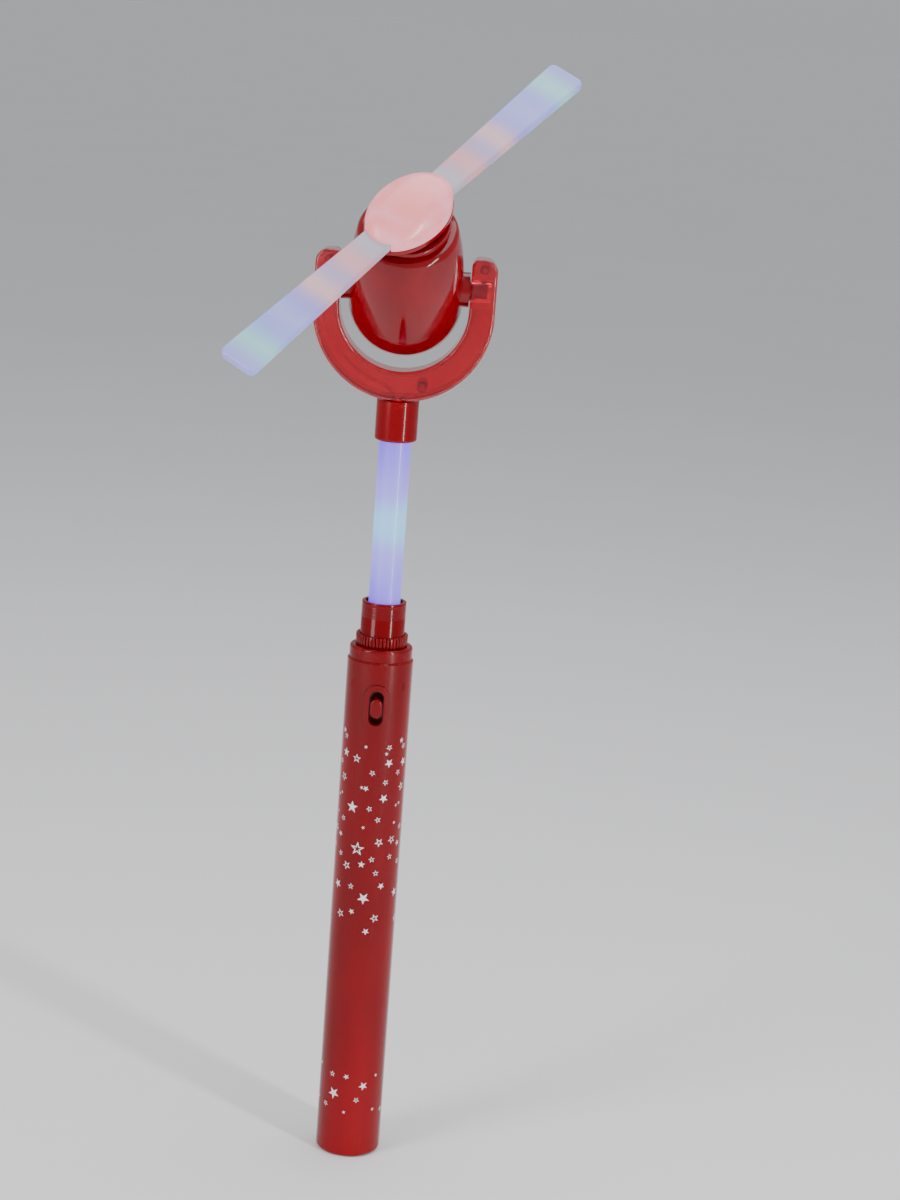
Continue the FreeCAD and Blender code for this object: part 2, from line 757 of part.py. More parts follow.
# ---------------------------------------------------------------- light tube and ferrule
tube_inner = tube_radius - size("tube_wall")
turned("light_tube", [
    (tube_inner, tube_bottom), (tube_radius, tube_bottom), (tube_radius, tube_top), (tube_inner, tube_top)])
strip_bottom = tube_bottom + 6.0
strip_top = tube_top - 3.0
strip_front = 0.9
named(block("strip_block", WORLD, (-2.2, 2.2), (strip_front, strip_front + 1.0), (strip_bottom, strip_top)),
      "tube_led_board")
TUBE_LED_COUNT = 6
tube_leds = []
for index in range(TUBE_LED_COUNT):
    middle = neck_top + size("tube_visible_length") * ((index + 0.5) / TUBE_LED_COUNT)
    tube_leds.append(block("tube_led_%d" % index, WORLD, (-1.5, 1.5), (strip_front - 1.3, strip_front),
                           (middle - 1.4, middle + 1.4)))
group("tube_leds", tube_leds)

spigot_bottom = tube_top + size("ferrule_web")
ferrule_radius = tube_radius + size("ferrule_wall")
turned("ferrule", [
    (3.2, tube_top),
    (seat_bore, tube_top),
    (seat_bore, ferrule_bottom),
    (ferrule_radius - 1.0, ferrule_bottom),
    (ferrule_radius, ferrule_bottom + 1.0, 1.0, "left"),
    (ferrule_radius, ferrule_top),
    (size("yoke_spigot_radius") + fixed_gap, ferrule_top),
    (size("yoke_spigot_radius") + fixed_gap, spigot_bottom),
    (3.2, spigot_bottom),
])

# ---------------------------------------------------------------- yoke
arm_middle = (yoke_outer + yoke_inner) / 2
cavity_top = pivot_height - size("trunnion_radius") - 3.0
trunnion_end = yoke_outer - 3.4
yoke_screws = [(-arm_middle, arm_top - 4.2), (arm_middle, arm_top - 4.2), (as_size(8.6), yoke_base + 6.2)]
yoke_screw_seat = yoke_depth - 2.8


def yoke_shell(label, front):
    """Half of the U-shaped fork, hollow for the leads, with half of its round spigot."""
    outward = not front
    sign = -1 if front else 1
    corner = 4.8
    small_corner = 3.0
    body = new_body(label)
    face = sketch_on(body, "XZ_Plane", label + "_face")
    outline(face, [
        (0, yoke_base, yoke_outer, "left"),
        (yoke_outer, yoke_outer_centre, yoke_outer, "left"),
        (yoke_outer, arm_top - corner),
        (yoke_outer - corner, arm_top, corner, "left"),
        (yoke_inner + small_corner, arm_top),
        (yoke_inner, arm_top - small_corner, small_corner, "left"),
        (yoke_inner, yoke_inner_centre),
        (0, yoke_inner_centre - yoke_inner, yoke_inner, "right"),
        (-yoke_inner, yoke_inner_centre, yoke_inner, "right"),
        (-yoke_inner, arm_top - small_corner),
        (-yoke_inner - small_corner, arm_top, small_corner, "left"),
        (-yoke_outer + corner, arm_top),
        (-yoke_outer, arm_top - corner, corner, "left"),
        (-yoke_outer, yoke_outer_centre),
    ])
    pad(body, face, label + "_pad", yoke_depth, outward)
    depth = yoke_depth.amount
    dress(body, label + "_edges", size("yoke_edge_rounding"),
          lambda box: min(abs(box.YMin), abs(box.YMax)) > depth - 0.01)
    inside = sketch_on(body, "XZ_Plane", label + "_inside")
    channel_outer = yoke_outer - yoke_wall
    channel_inner = yoke_inner + yoke_wall
    outline(inside, [
        (0, yoke_outer_centre - channel_outer, channel_outer, "left"),
        (channel_outer, yoke_outer_centre, channel_outer, "left"),
        (channel_outer, cavity_top),
        (channel_inner, cavity_top),
        (channel_inner, yoke_inner_centre),
        (0, yoke_inner_centre - channel_inner, channel_inner, "right"),
        (-channel_inner, yoke_inner_centre, channel_inner, "right"),
        (-channel_inner, cavity_top),
        (-channel_outer, cavity_top),
        (-channel_outer, yoke_outer_centre),
    ])
    pocket(body, inside, label + "_channel", yoke_depth - yoke_wall, outward)
    stub = sketch_on(body, "XY_Plane", label + "_stub", spigot_bottom)
    radius = size("yoke_spigot_radius")
    half_disc(stub, radius, sign)
    pad(body, stub, label + "_spigot", yoke_base - spigot_bottom + yoke_wall)
    boss = sketch_on(body, "XZ_Plane", label + "_boss")
    circle(boss, yoke_screws[2][0], yoke_screws[2][1], boss_radius)
    pad(body, boss, label + "_boss_pad", yoke_depth - 0.5, outward)
    way = sketch_on(body, "XY_Plane", label + "_lead_way", spigot_bottom - 1.0)
    half_disc(way, as_size(2.6), sign)
    pocket(body, way, label + "_lead_way_cut", yoke_base - spigot_bottom + yoke_wall + 2.0)
    for side in (-1, 1):
        bore = sketch_on(body, "YZ_Plane", "%s_bore_%d" % (label, side + 1), side * (yoke_inner - 1.0))
        circle(bore, 0, pivot_height, size("trunnion_radius") + running_gap)
        pocket(body, bore, "%s_bore_cut_%d" % (label, side + 1), yoke_outer - yoke_inner - 0.9, side < 0)
        slot = sketch_on(body, "XZ_Plane", "%s_slot_%d" % (label, side + 1))
        box_outline(slot, side * (yoke_outer - 3.2), side * (yoke_outer - 1.9),
                    cavity_top - 1.0, pivot_height)
        pocket(body, slot, "%s_slot_cut_%d" % (label, side + 1), 1.6, outward)
    return body


yoke_front = yoke_shell("yoke_front_shell", True)
for index, (x, z) in enumerate(yoke_screws):
    hole = sketch_on(yoke_front, "XZ_Plane", "yoke_pilot_%d" % index)
    circle(hole, x, z, screw_shank + fixed_gap)
    pocket(yoke_front, hole, "yoke_pilot_cut_%d" % index, yoke_depth - 2.0)
yoke_back = yoke_shell("yoke_back_shell", False)
for index, (x, z) in enumerate(yoke_screws):
    hole = sketch_on(yoke_back, "XZ_Plane", "yoke_way_%d" % index)
    circle(hole, x, z, screw_shank + 0.1)
    pocket(yoke_back, hole, "yoke_way_cut_%d" % index, yoke_depth + 1.0, True)
    well = sketch_on(yoke_back, "XZ_Plane", "yoke_well_%d" % index, -yoke_screw_seat)
    circle(well, x, z, screw_head + 0.1)
    pocket(yoke_back, well, "yoke_well_cut_%d" % index, yoke_depth, True)
screw_group("yoke_screws", [(x, yoke_screw_seat, z) for x, z in yoke_screws],
            WORLD, FACING_BACK, size("screw_length"))

# ---------------------------------------------------------------- motor housing
housing_radius = size("housing_radius")
housing_inner = housing_radius - size("housing_wall")
housing_rear = size("housing_rear")
mouth = size("mouth_height")
mouth_radius = size("mouth_radius")
ledge = size("ledge_height")
housing_bore = size("mouth_bore")
ledge_bore = size("motor_radius") + size("ledge_gap")
RIM_GROOVE = 0.9

housing = new_body("motor_housing")
housing_profile = sketch_on(housing, "XZ_Plane", "housing_profile")
belly_low = -housing_radius * 0.30
belly_high = housing_radius * 0.25
shoulder = mouth_radius + 3.0
shoulder_height = mouth - 5.4
taper = housing_radius - shoulder
rise = shoulder_height - belly_high
flank = (taper * taper + rise * rise) / (2 * taper)
ledge_wall = housing_inner - 0.45
outline(housing_profile, [
    (0, -housing_rear),
    (housing_radius * 0.42, -housing_rear),
    (housing_radius, belly_low, housing_radius * 1.02, "left"),
    (housing_radius, belly_high),
    (shoulder, shoulder_height, flank, "left"),
    (mouth_radius + 0.8, mouth - 3.4, 2.3, "left"),
    (mouth_radius - RIM_GROOVE, mouth - 3.1),
    (mouth_radius - RIM_GROOVE, mouth - 2.1),
    (mouth_radius, mouth - 1.7),
    (mouth_radius, mouth - 0.5),
    (mouth_radius - 0.5, mouth, 0.5, "left"),
    (housing_bore, mouth),
    (housing_bore, mouth - 5.0),
    (shoulder - size("housing_wall"), mouth - 6.8),
    (ledge_wall, ledge),
    (ledge_bore, ledge),
    (ledge_bore, ledge - 2.2),
    (ledge_wall + 0.3, ledge - 2.2),
    (housing_inner, belly_high),
    (housing_inner, belly_low),
    (housing_inner * 0.42, size("housing_wall") - housing_rear, housing_radius * 1.02, "right"),
    (0, size("housing_wall") - housing_rear),
])
revolve(housing, housing_profile, "housing_turn")
shoulder_start = housing_inner + 0.2
shoulder_end = yoke_inner - 0.3
for side in (-1, 1):
    disc = sketch_on(housing, "YZ_Plane", "shoulder_%d" % (side + 1), side * shoulder_start)
    circle(disc, 0, 0, size("shoulder_radius"))
    pad(housing, disc, "shoulder_pad_%d" % (side + 1), shoulder_end - shoulder_start, side < 0)
    stub = sketch_on(housing, "YZ_Plane", "trunnion_%d" % (side + 1), side * (shoulder_end - 0.5))
    circle(stub, 0, 0, size("trunnion_radius"))
    pad(housing, stub, "trunnion_pad_%d" % (side + 1), trunnion_end - shoulder_end + 0.5, side < 0)
    way = sketch_on(housing, "YZ_Plane", "trunnion_way_%d" % (side + 1), side * (housing_inner - 1.5))
    circle(way, 0, 0, 1.6)
    pocket(housing, way, "trunnion_way_cut_%d" % (side + 1), yoke_outer - housing_inner + 3.0, side < 0)
bracket_screw_radius = (housing_bore + ledge_bore) / 2
BRACKET_SCREWS = 3
for index in range(BRACKET_SCREWS):
    angle = math.radians(90 + 360 / BRACKET_SCREWS * index)
    hole = sketch_on(housing, "XY_Plane", "ledge_hole_%d" % index, ledge - 3.0)
    circle(hole, bracket_screw_radius * math.cos(angle), bracket_screw_radius * math.sin(angle), 0.75)
    pocket(housing, hole, "ledge_hole_cut_%d" % index, 4.0)
place(housing, HEAD)

bracket_top = ledge + 1.6
bracket = new_body("motor_bracket")
bracket_face = sketch_on(bracket, "XY_Plane", "bracket_face", ledge)
circle(bracket_face, 0, 0, housing_bore - fixed_gap)
circle(bracket_face, 0, 0, 3.3)
pad(bracket, bracket_face, "bracket_pad", bracket_top - ledge)
bracket_places = []
for index in range(BRACKET_SCREWS):
    angle = math.radians(90 + 360 / BRACKET_SCREWS * index)
    x = bracket_screw_radius * math.cos(angle)
    y = bracket_screw_radius * math.sin(angle)
    hole = sketch_on(bracket, "XY_Plane", "bracket_hole_%d" % index, ledge - 0.5)
    circle(hole, x, y, 0.8)
    pocket(bracket, hole, "bracket_hole_cut_%d" % index, 3.0)
    bracket_places.append((x, y, bracket_top))
place(bracket, HEAD)
screw_group("bracket_screws", bracket_places, HEAD, WORLD, 3.6, 0.7)

# ---------------------------------------------------------------- motor
motor_radius = size("motor_radius")
motor_half = motor_radius - size("motor_flat_depth")
motor_top = ledge
motor_bottom = motor_top - size("motor_length")
motor_wall = size("motor_wall")
shaft_radius = size("shaft_radius")
bush_bore = shaft_radius + 0.04


def flat_sided(sketch, radius, half):
    """A circle with two flats, the section of a small toy motor's can."""
    edge = Size(math.sqrt(radius.amount ** 2 - half.amount ** 2),
                "sqrt(%s ^ 2 - %s ^ 2)" % (radius.text, half.text))
    outline(sketch, [
        (edge, -half),
        (edge, half, radius, "left"),
        (-edge, half),
        (-edge, -half, radius, "left"),
    ])


motor_can = new_body("motor_can")
can_section = sketch_on(motor_can, "XY_Plane", "can_section", motor_bottom)
flat_sided(can_section, motor_radius, motor_half)
pad(motor_can, can_section, "can_length", size("motor_length"))
can_inside = sketch_on(motor_can, "XY_Plane", "can_inside", motor_bottom - 1.0)
flat_sided(can_inside, motor_radius - motor_wall, motor_half - motor_wall)
pocket(motor_can, can_inside, "can_inside_cut", size("motor_length") - motor_wall + 1.0)
can_nose = sketch_on(motor_can, "XY_Plane", "can_nose", motor_top - 0.2)
circle(can_nose, 0, 0, 3.1)
pad(motor_can, can_nose, "can_nose_pad", 1.8)
can_bore = sketch_on(motor_can, "XY_Plane", "can_bore", motor_top - 1.0)
circle(can_bore, 0, 0, 2.1)
pocket(motor_can, can_bore, "can_bore_cut", 4.0)
place(motor_can, HEAD)

turned("motor_front_bush", [
    (bush_bore, motor_top - motor_wall), (2.05, motor_top - motor_wall),
    (2.05, motor_top + 1.6), (bush_bore, motor_top + 1.6)], HEAD)

end_cap = new_body("motor_end_cap")
cap_section = sketch_on(end_cap, "XY_Plane", "cap_section", motor_bottom - 2.2)
flat_sided(cap_section, motor_radius, motor_half)
pad(end_cap, cap_section, "cap_pad", 2.2)
cap_bore = sketch_on(end_cap, "XY_Plane", "cap_bore", motor_bottom - 3.0)
circle(cap_bore, 0, 0, bush_bore)
pocket(end_cap, cap_bore, "cap_bore_cut", 4.0)
place(end_cap, HEAD)

group("motor_terminals", [
    block("terminal_%d" % (side + 1), HEAD, (6.4 * side - 1.1, 6.4 * side + 1.1), (-0.2, 0.2),
          (motor_bottom - 5.0, motor_bottom - 2.2))
    for side in (-1, 1)])

magnet_low = motor_bottom + 6.0
magnet_high = motor_top - 5.0
magnets = []
for side in (-1, 1):
    name = "magnet_%d" % (side + 1)
    turn = HEAD * pose(0, 0, 0, (0, 0, 1), 140 if side < 0 else -40)
    outer = primitive("Cylinder", name + "_outer", turn * pose(0, 0, magnet_low),
                      Radius=motor_radius - motor_wall - 0.05, Height=magnet_high - magnet_low, Angle=80)
    inner = primitive("Cylinder", name + "_inner", turn * pose(0, 0, magnet_low - 1.0),
                      Radius=7.2, Height=magnet_high - magnet_low + 2.0)
    magnet = document.addObject("Part::Cut", name)
    magnet.Base = outer
    magnet.Tool = inner
    magnets.append(magnet)
group("motor_magnets", magnets)

# ---------------------------------------------------------------- rotor
plate_back = mouth + size("hub_gap")
hub_front = plate_back + size("hub_plate_thickness")
hub_back = plate_back - size("hub_boss_depth")
hub_boss_radius = size("mouth_bore") - 1.8
turned("motor_shaft", [
    (0, motor_bottom - 3.0), (shaft_radius, motor_bottom - 3.0),
    (shaft_radius, hub_front - 1.5), (0, hub_front - 1.5)], ROTOR)

armature = new_body("motor_armature")
core_section = sketch_on(armature, "XY_Plane", "core_section", magnet_low + 0.5)
circle(core_section, 0, 0, 6.8)
circle(core_section, 0, 0, shaft_radius + 0.02)
pad(armature, core_section, "core_pad", magnet_high - magnet_low - 1.0)
core_slot = sketch_on(armature, "XY_Plane", "core_slot", magnet_low - 1.0)
box_outline(core_slot, 2.6, 8.0, -0.6, 0.6)
core_slot_cut = pocket(armature, core_slot, "core_slot_cut", magnet_high - magnet_low + 3.0)
core_slots = armature.newObject("PartDesign::PolarPattern", "core_slots")
core_slots.Originals = [core_slot_cut]
core_slots.Axis = (core_slot, ["N_Axis"])
core_slots.Angle = 360.0
core_slots.Occurrences = 3
armature.Tip = core_slots
place(armature, ROTOR)
turned("motor_commutator", [
    (shaft_radius + 0.02, motor_bottom + 1.2), (2.4, motor_bottom + 1.2),
    (2.4, magnet_low + 0.5), (shaft_radius + 0.02, magnet_low + 0.5)], ROTOR)

ring_board_top = hub_back + 1.2
ring_board_radius = size("slip_board_radius")
turned("slip_ring_board", [
    (2.4, hub_back), (ring_board_radius, hub_back),
    (ring_board_radius, ring_board_top), (2.4, ring_board_top)], ROTOR)
SLIP_TRACKS = [(3.7, 4.9), (5.8, 7.0)]
tracks = []
for index, (low, high) in enumerate(SLIP_TRACKS):
    outer = primitive("Cylinder", "track_outer_%d" % index, ROTOR * pose(0, 0, hub_back - 0.12),
                      Radius=high, Height=0.12)
    inner = primitive("Cylinder", "track_inner_%d" % index, ROTOR * pose(0, 0, hub_back - 1.0),
                      Radius=low, Height=2.0)
    track = document.addObject("Part::Cut", "track_%d" % index)
    track.Base = outer
    track.Tool = inner
    tracks.append(track)
group("slip_rings", tracks)

# A spring finger stands on the bracket under each slip ring.
finger_tip = hub_back - 0.12 - 0.15
fingers = []
for index, (low, high) in enumerate(SLIP_TRACKS):
    side = 1 if index == 0 else -1
    foot = (low + high) / 2
    name = "finger_%d" % index
    edge = (foot - 0.15) * side
    other = (foot + 0.15) * side
    post = block(name + "_post", HEAD, (min(edge, other), max(edge, other)), (-0.9, 0.9),
                 (bracket_top, finger_tip))
    tip = block(name + "_tip", HEAD, (side * foot - 0.8, side * foot + 0.8), (-0.9, 0.9),
                (finger_tip - 0.3, finger_tip))
    base = block(name + "_base", HEAD, (side * foot - 0.9, side * foot + 0.9), (-0.9, 0.9),
                 (bracket_top, bracket_top + 0.3))
    finger = document.addObject("Part::MultiFuse", name)
    finger.Shapes = [post, tip, base]
    fingers.append(finger)
group("contact_fingers", fingers)

# ---------------------------------------------------------------- hub
hub_long = size("hub_half_length")
hub_wide = size("hub_half_width")


def oval_prism(name, long_half, wide_half, low, height):
    """An oval disc: an ellipse in the rotor's frame, extruded along the shaft."""
    rim = document.addObject("Part::Ellipse", name + "_rim")
    bind(rim, "MajorRadius", long_half)
    bind(rim, "MinorRadius", wide_half)
    disc = document.addObject("Part::Extrusion", name)
    disc.Base = rim
    disc.DirMode = "Custom"
    disc.Dir = FreeCAD.Vector(0, 0, 1)
    bind(disc, "LengthFwd", height)
    disc.Solid = True
    place(disc, ROTOR * pose(0, 0, low))
    return disc


def half_dome(name, long_half, wide_half, low, crown):
    return primitive("Ellipsoid", name, ROTOR * pose(0, 0, low),
                     Radius1=crown, Radius2=long_half, Radius3=wide_half, Angle1=0, Angle2=90)


def fuse(name, shapes):
    solid = document.addObject("Part::MultiFuse", name)
    solid.Shapes = shapes
    return solid


def cut(name, base, tool):
    solid = document.addObject("Part::Cut", name)
    solid.Base = base
    solid.Tool = tool
    return solid


HUB_SCREW_OFFSET = 9.5
hub_screw_places = [(0, -HUB_SCREW_OFFSET), (0, HUB_SCREW_OFFSET)]
base_cuts = [
    primitive("Cylinder", "hub_board_seat", ROTOR * pose(0, 0, hub_back - 1.0),
              Radius=ring_board_radius + 0.1, Height=2.2),
    primitive("Cylinder", "hub_shaft_bore", ROTOR * pose(0, 0, hub_back - 1.0),
              Radius=shaft_radius + 0.01, Height=hub_front - hub_back - 0.5),
]
for index, (x, y) in enumerate(hub_screw_places):
    base_cuts.append(primitive("Cylinder", "hub_screw_well_%d" % index, ROTOR * pose(x, y, hub_back),
                               Radius=1.4, Height=2.0))
    base_cuts.append(primitive("Cylinder", "hub_screw_way_%d" % index, ROTOR * pose(x, y, hub_back),
                               Radius=0.8, Height=hub_front - hub_back + 1.0))
base_solid = fuse("hub_base_solid", [
    oval_prism("hub_plate", hub_long + size("hub_rim"), hub_wide + size("hub_rim"),
               plate_back, size("hub_plate_thickness")),
    primitive("Cylinder", "hub_boss", ROTOR * pose(0, 0, hub_back),
              Radius=hub_boss_radius, Height=size("hub_boss_depth") + 0.4),
])
named(cut("hub_base_piece", base_solid, fuse("hub_base_cuts", base_cuts)), "hub_base")

dome_side = size("dome_side_height")
dome_crown = size("dome_crown_height")
dome_wall = size("dome_wall")
dome_skin = fuse("dome_skin", [
    oval_prism("dome_side", hub_long, hub_wide, hub_front, dome_side),
    half_dome("dome_crown", hub_long, hub_wide, hub_front + dome_side, dome_crown),
])
dome_hollow = fuse("dome_hollow", [
    oval_prism("dome_side_hollow", hub_long - dome_wall, hub_wide - dome_wall, hub_front - 1.0,
               dome_side + 1.0),
    half_dome("dome_crown_hollow", hub_long - dome_wall, hub_wide - dome_wall, hub_front + dome_side,
              dome_crown - dome_wall),
])
dome_posts = [
    primitive("Cylinder", "dome_post_%d" % index, ROTOR * pose(x, y, hub_front),
              Radius=1.6, Height=dome_side + dome_crown * 0.4)
    for index, (x, y) in enumerate(hub_screw_places)]
dome_shell = fuse("dome_shell", [cut("dome_skin_hollow", dome_skin, dome_hollow)] + dome_posts)
blade_half_root = size("blade_root_half_width")
blade_thickness = size("blade_thickness")
root_slot = block("dome_slots", ROTOR, (-hub_long - 2.0, hub_long + 2.0),
                  (-blade_half_root - 0.4, blade_half_root + 0.4),
                  (hub_front - 1.0, hub_front + blade_thickness + 0.1))
dome_holes = [
    primitive("Cylinder", "dome_pilot_%d" % index, ROTOR * pose(x, y, hub_front - 0.5),
              Radius=0.75, Height=5.0)
    for index, (x, y) in enumerate(hub_screw_places)]
named(cut("hub_dome_piece", dome_shell, fuse("dome_cuts", [root_slot] + dome_holes)), "hub_dome")
screw_group("hub_screws", [(x, y, hub_back + 2.0) for x, y in hub_screw_places], ROTOR, FACING_DOWN,
            hub_front - hub_back + 0.6, 0.7)

hub_board_top = hub_front + 1.2
turned("hub_board", [
    (0, hub_front), (6.2, hub_front), (6.2, hub_board_top), (0, hub_board_top)], ROTOR)
named(block("hub_lamp_block", ROTOR, (-2.5, 2.5), (-2.5, 2.5), (hub_board_top + 0.6, hub_board_top + 2.2)),
      "hub_led")

# ---------------------------------------------------------------- blades
blade_reach = size("blade_reach")
blade_root = size("blade_root")
blade_half_tip = size("blade_tip_half_width")
blade_wall = size("blade_wall")
board_low = hub_board_top
board_high = board_low + 0.6
led_labels = ["green_leds", "blue_leds", "orange_leds", "red_leds"]


def blade_outline(sketch, root, reach, root_half, tip_half, corner):
    outline(sketch, [
        (reach, tip_half - corner),
        (reach - corner, tip_half, corner, "left"),
        (root, root_half),
        (root, -root_half),
        (reach - corner, -tip_half),
        (reach, -(tip_half - corner), corner, "left"),
    ])


for number in (1, 2):
    frame = ROTOR * pose(0, 0, 0, (0, 0, 1), 180 * (number - 1))
    blade = new_body("blade_%d" % number)
    blade_face = sketch_on(blade, "XY_Plane", "blade_%d_face" % number, hub_front)
    blade_outline(blade_face, blade_root, blade_reach, blade_half_root, blade_half_tip, 2.4)
    pad(blade, blade_face, "blade_%d_pad" % number, blade_thickness)
    dress(blade, "blade_%d_edges" % number, size("blade_edge_rounding"),
          lambda box: box.ZLength < 0.01 and box.XMax > blade_root.amount + 1.0)
    blade_inside = sketch_on(blade, "XY_Plane", "blade_%d_inside" % number, hub_front + blade_wall)
    blade_outline(blade_inside, blade_root - 1.0, blade_reach - blade_wall, blade_half_root - blade_wall,
                  blade_half_tip - blade_wall, 1.8)
    pocket(blade, blade_inside, "blade_%d_hollow" % number, blade_thickness - 2 * blade_wall)
    place(blade, frame)
    named(block("blade_board_block_%d" % number, frame, (5.2, blade_reach - 4.0), (-3.2, 3.2),
                (board_low, board_high)), "blade_board_%d" % number)

for step, label in enumerate(led_labels):
    radius = blade_reach - size("led_tip_gap") - size("led_pitch") * step
    leds = []
    for number in (1, 2):
        frame = ROTOR * pose(0, 0, 0, (0, 0, 1), 180 * (number - 1))
        leds.append(block("%s_%d" % (label, number), frame, (radius - 1.4, radius + 1.4), (-1.2, 1.2),
                          (board_high, board_high + 0.8)))
    group(label, leds)

# ---------------------------------------------------------------- leads


def lead(name, points, radius, frame=WORLD):
    """A round wire along straight runs joined by tangent arcs as large as the runs allow."""
    spots = [FreeCAD.Vector(*[as_size(part).amount for part in point]) for point in points]
    edges = []
    start = spots[0]
    for index in range(1, len(spots) - 1):
        before = spots[index] - spots[index - 1]
        after = spots[index + 1] - spots[index]
        half_turn = before.getAngle(after) / 2
        setback = 0.45 * min(before.Length, after.Length)
        into = spots[index] - before * (setback / before.Length)
        out = spots[index] + after * (setback / after.Length)
        arc_radius = setback / math.tan(half_turn)
        to_centre = (out - spots[index]) + (into - spots[index])
        to_centre.normalize()
        centre = spots[index] + to_centre * (arc_radius / math.cos(half_turn))
        middle = centre - to_centre * arc_radius
        edges.append(Part.LineSegment(start, into).toShape())
        edges.append(Part.Arc(into, middle, out).toShape())
        start = out
    edges.append(Part.LineSegment(start, spots[-1]).toShape())
    path = Part.Wire(edges)
    heading = spots[1] - spots[0]
    section = Part.Wire(Part.makeCircle(radius, spots[0], heading))
    thing = document.addObject("Part::Feature", name)
    thing.Shape = path.makePipeShell([section], True, False)
    thing.Placement = frame.value
    return thing


LEAD_RADIUS = 0.5
wire_x = inner_radius - 1.9
named(lead("battery_lead_wire", [
    (wire_x, 1.5, bay_bottom + plate + 0.6),
    (wire_x, 1.5, (bay_bottom + bay_top) / 2),
    (wire_x - 0.3, 1.4, bay_top - 6.0),
    (wire_x, 1.5, bay_top + 3.0),
    (wire_x - 1.4, 0.2, board_bottom + 6.0),
    (4.4, -(board_back - 0.5), board_bottom + 9.5),
], LEAD_RADIUS), "battery_lead")

lead_lines = []
for index, y in enumerate((-0.62, 0.62)):
    lead_lines.append(lead("head_lead_%d" % index, [
        (-3.5, y, board_top + 0.8),
        (-3.5, y, collar_top),
        (-3.3, y, neck_top + 20.0),
        (-3.4, y, tube_top - 6.0),
        (-1.3, y, tube_top + 3.0),
        (-1.3, y, yoke_base + 2.0),
        (-yoke_outer * 0.14, y, yoke_base + 5.2),
        (-yoke_outer * 0.39, y, yoke_base + 8.2),
        (-yoke_outer * 0.67, y, yoke_base + 15.5),
        (-yoke_outer * 0.843, y, yoke_base + 24.0),
        (-yoke_outer + 2.7, y, yoke_base + 31.5),
        (-yoke_outer + 2.6, y, pivot_height - 0.8),
    ], LEAD_RADIUS))
group("head_leads", lead_lines)

motor_leads = []
for index, side in enumerate((-1, 1)):
    drop = 0.5 * index
    motor_leads.append(lead("motor_lead_%d" % index, [
        (-trunnion_end, 0.62 * side, 0),
        (-housing_inner + 2.0, 0.66 * side, -0.3),
        (-motor_radius - 3.6, 0.7 * side, -3.6),
        (-motor_radius - 2.9, 0.7 * side, motor_bottom + 0.3),
        (-motor_radius - 0.2, 0.9 * side, motor_bottom - 4.6 - drop),
        (6.4 * side - 0.9, 0.7 * side, motor_bottom - 4.3 - drop),
    ], LEAD_RADIUS, HEAD))
group("motor_leads", motor_leads)

# ---------------------------------------------------------------- check and write
document.recompute()
faults = [item.Label for item in document.Objects if "Invalid" in item.State or "Error" in item.State]
if faults:
    raise RuntimeError("features failed: " + ", ".join(faults))
for item in subparts:
    if item.Shape.isNull() or not item.Shape.isValid() or not item.Shape.Solids:
        raise RuntimeError("bad shape: " + item.Label)

os.makedirs("parts", exist_ok=True)
for item in subparts:
    item.Shape.exportStep("parts/%s.step" % item.Label)
    print("%-22s %9.1f mm3, %d solids" % (item.Label, item.Shape.Volume, len(item.Shape.Solids)))
print(len(subparts), "nodes, pivot height", round(pivot_height.amount, 2))
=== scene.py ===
import json
import math

import bmesh
import bpy
from mathutils import Matrix, Vector


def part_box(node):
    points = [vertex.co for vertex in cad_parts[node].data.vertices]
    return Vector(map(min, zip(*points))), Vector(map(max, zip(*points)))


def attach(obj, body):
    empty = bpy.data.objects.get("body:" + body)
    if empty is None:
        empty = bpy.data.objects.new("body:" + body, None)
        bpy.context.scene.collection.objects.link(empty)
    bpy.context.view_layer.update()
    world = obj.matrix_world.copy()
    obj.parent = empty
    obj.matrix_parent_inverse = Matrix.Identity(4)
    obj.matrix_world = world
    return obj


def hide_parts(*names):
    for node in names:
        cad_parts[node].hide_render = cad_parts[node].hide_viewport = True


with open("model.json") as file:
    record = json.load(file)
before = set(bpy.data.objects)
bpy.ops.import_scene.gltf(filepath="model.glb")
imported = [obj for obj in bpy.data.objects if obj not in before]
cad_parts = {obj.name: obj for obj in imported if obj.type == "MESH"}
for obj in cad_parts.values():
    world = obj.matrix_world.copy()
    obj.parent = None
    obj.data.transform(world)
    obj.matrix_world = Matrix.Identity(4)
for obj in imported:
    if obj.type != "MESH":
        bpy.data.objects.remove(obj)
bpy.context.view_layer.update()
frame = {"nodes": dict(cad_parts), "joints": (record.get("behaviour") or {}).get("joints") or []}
mm = 0.001

# the joints and boxes that the pieces and the patterns are measured from
spinJoint = [joint for joint in frame["joints"] if joint["name"] == "rotor_spin"][0]
spinCentre = Vector(spinJoint["pos_m"])
spinAxis = Vector(spinJoint["axis"]).normalized()
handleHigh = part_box("handle_front_shell")[1]
handleRadius = handleHigh.x
handleTop = handleHigh.z
doorLow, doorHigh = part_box("battery_door")
ringLow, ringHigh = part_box("lock_ring")
neckLow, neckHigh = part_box("neck_sleeve")
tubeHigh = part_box("light_tube")[1]
ferruleLow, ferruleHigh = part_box("ferrule")
print("frame: %d nodes, handle radius %.1f mm" % (len(frame["nodes"]), handleRadius / mm))


# camera, floor and lights

cameraView = {
    "place": (0.02466, -0.96676, 0.44194),
    "pitchDown": 12.74,
    "roll": 4.24,
    "lens": 78.84,
    "sensor": 36.0,
    "clipStart": 0.05,
}


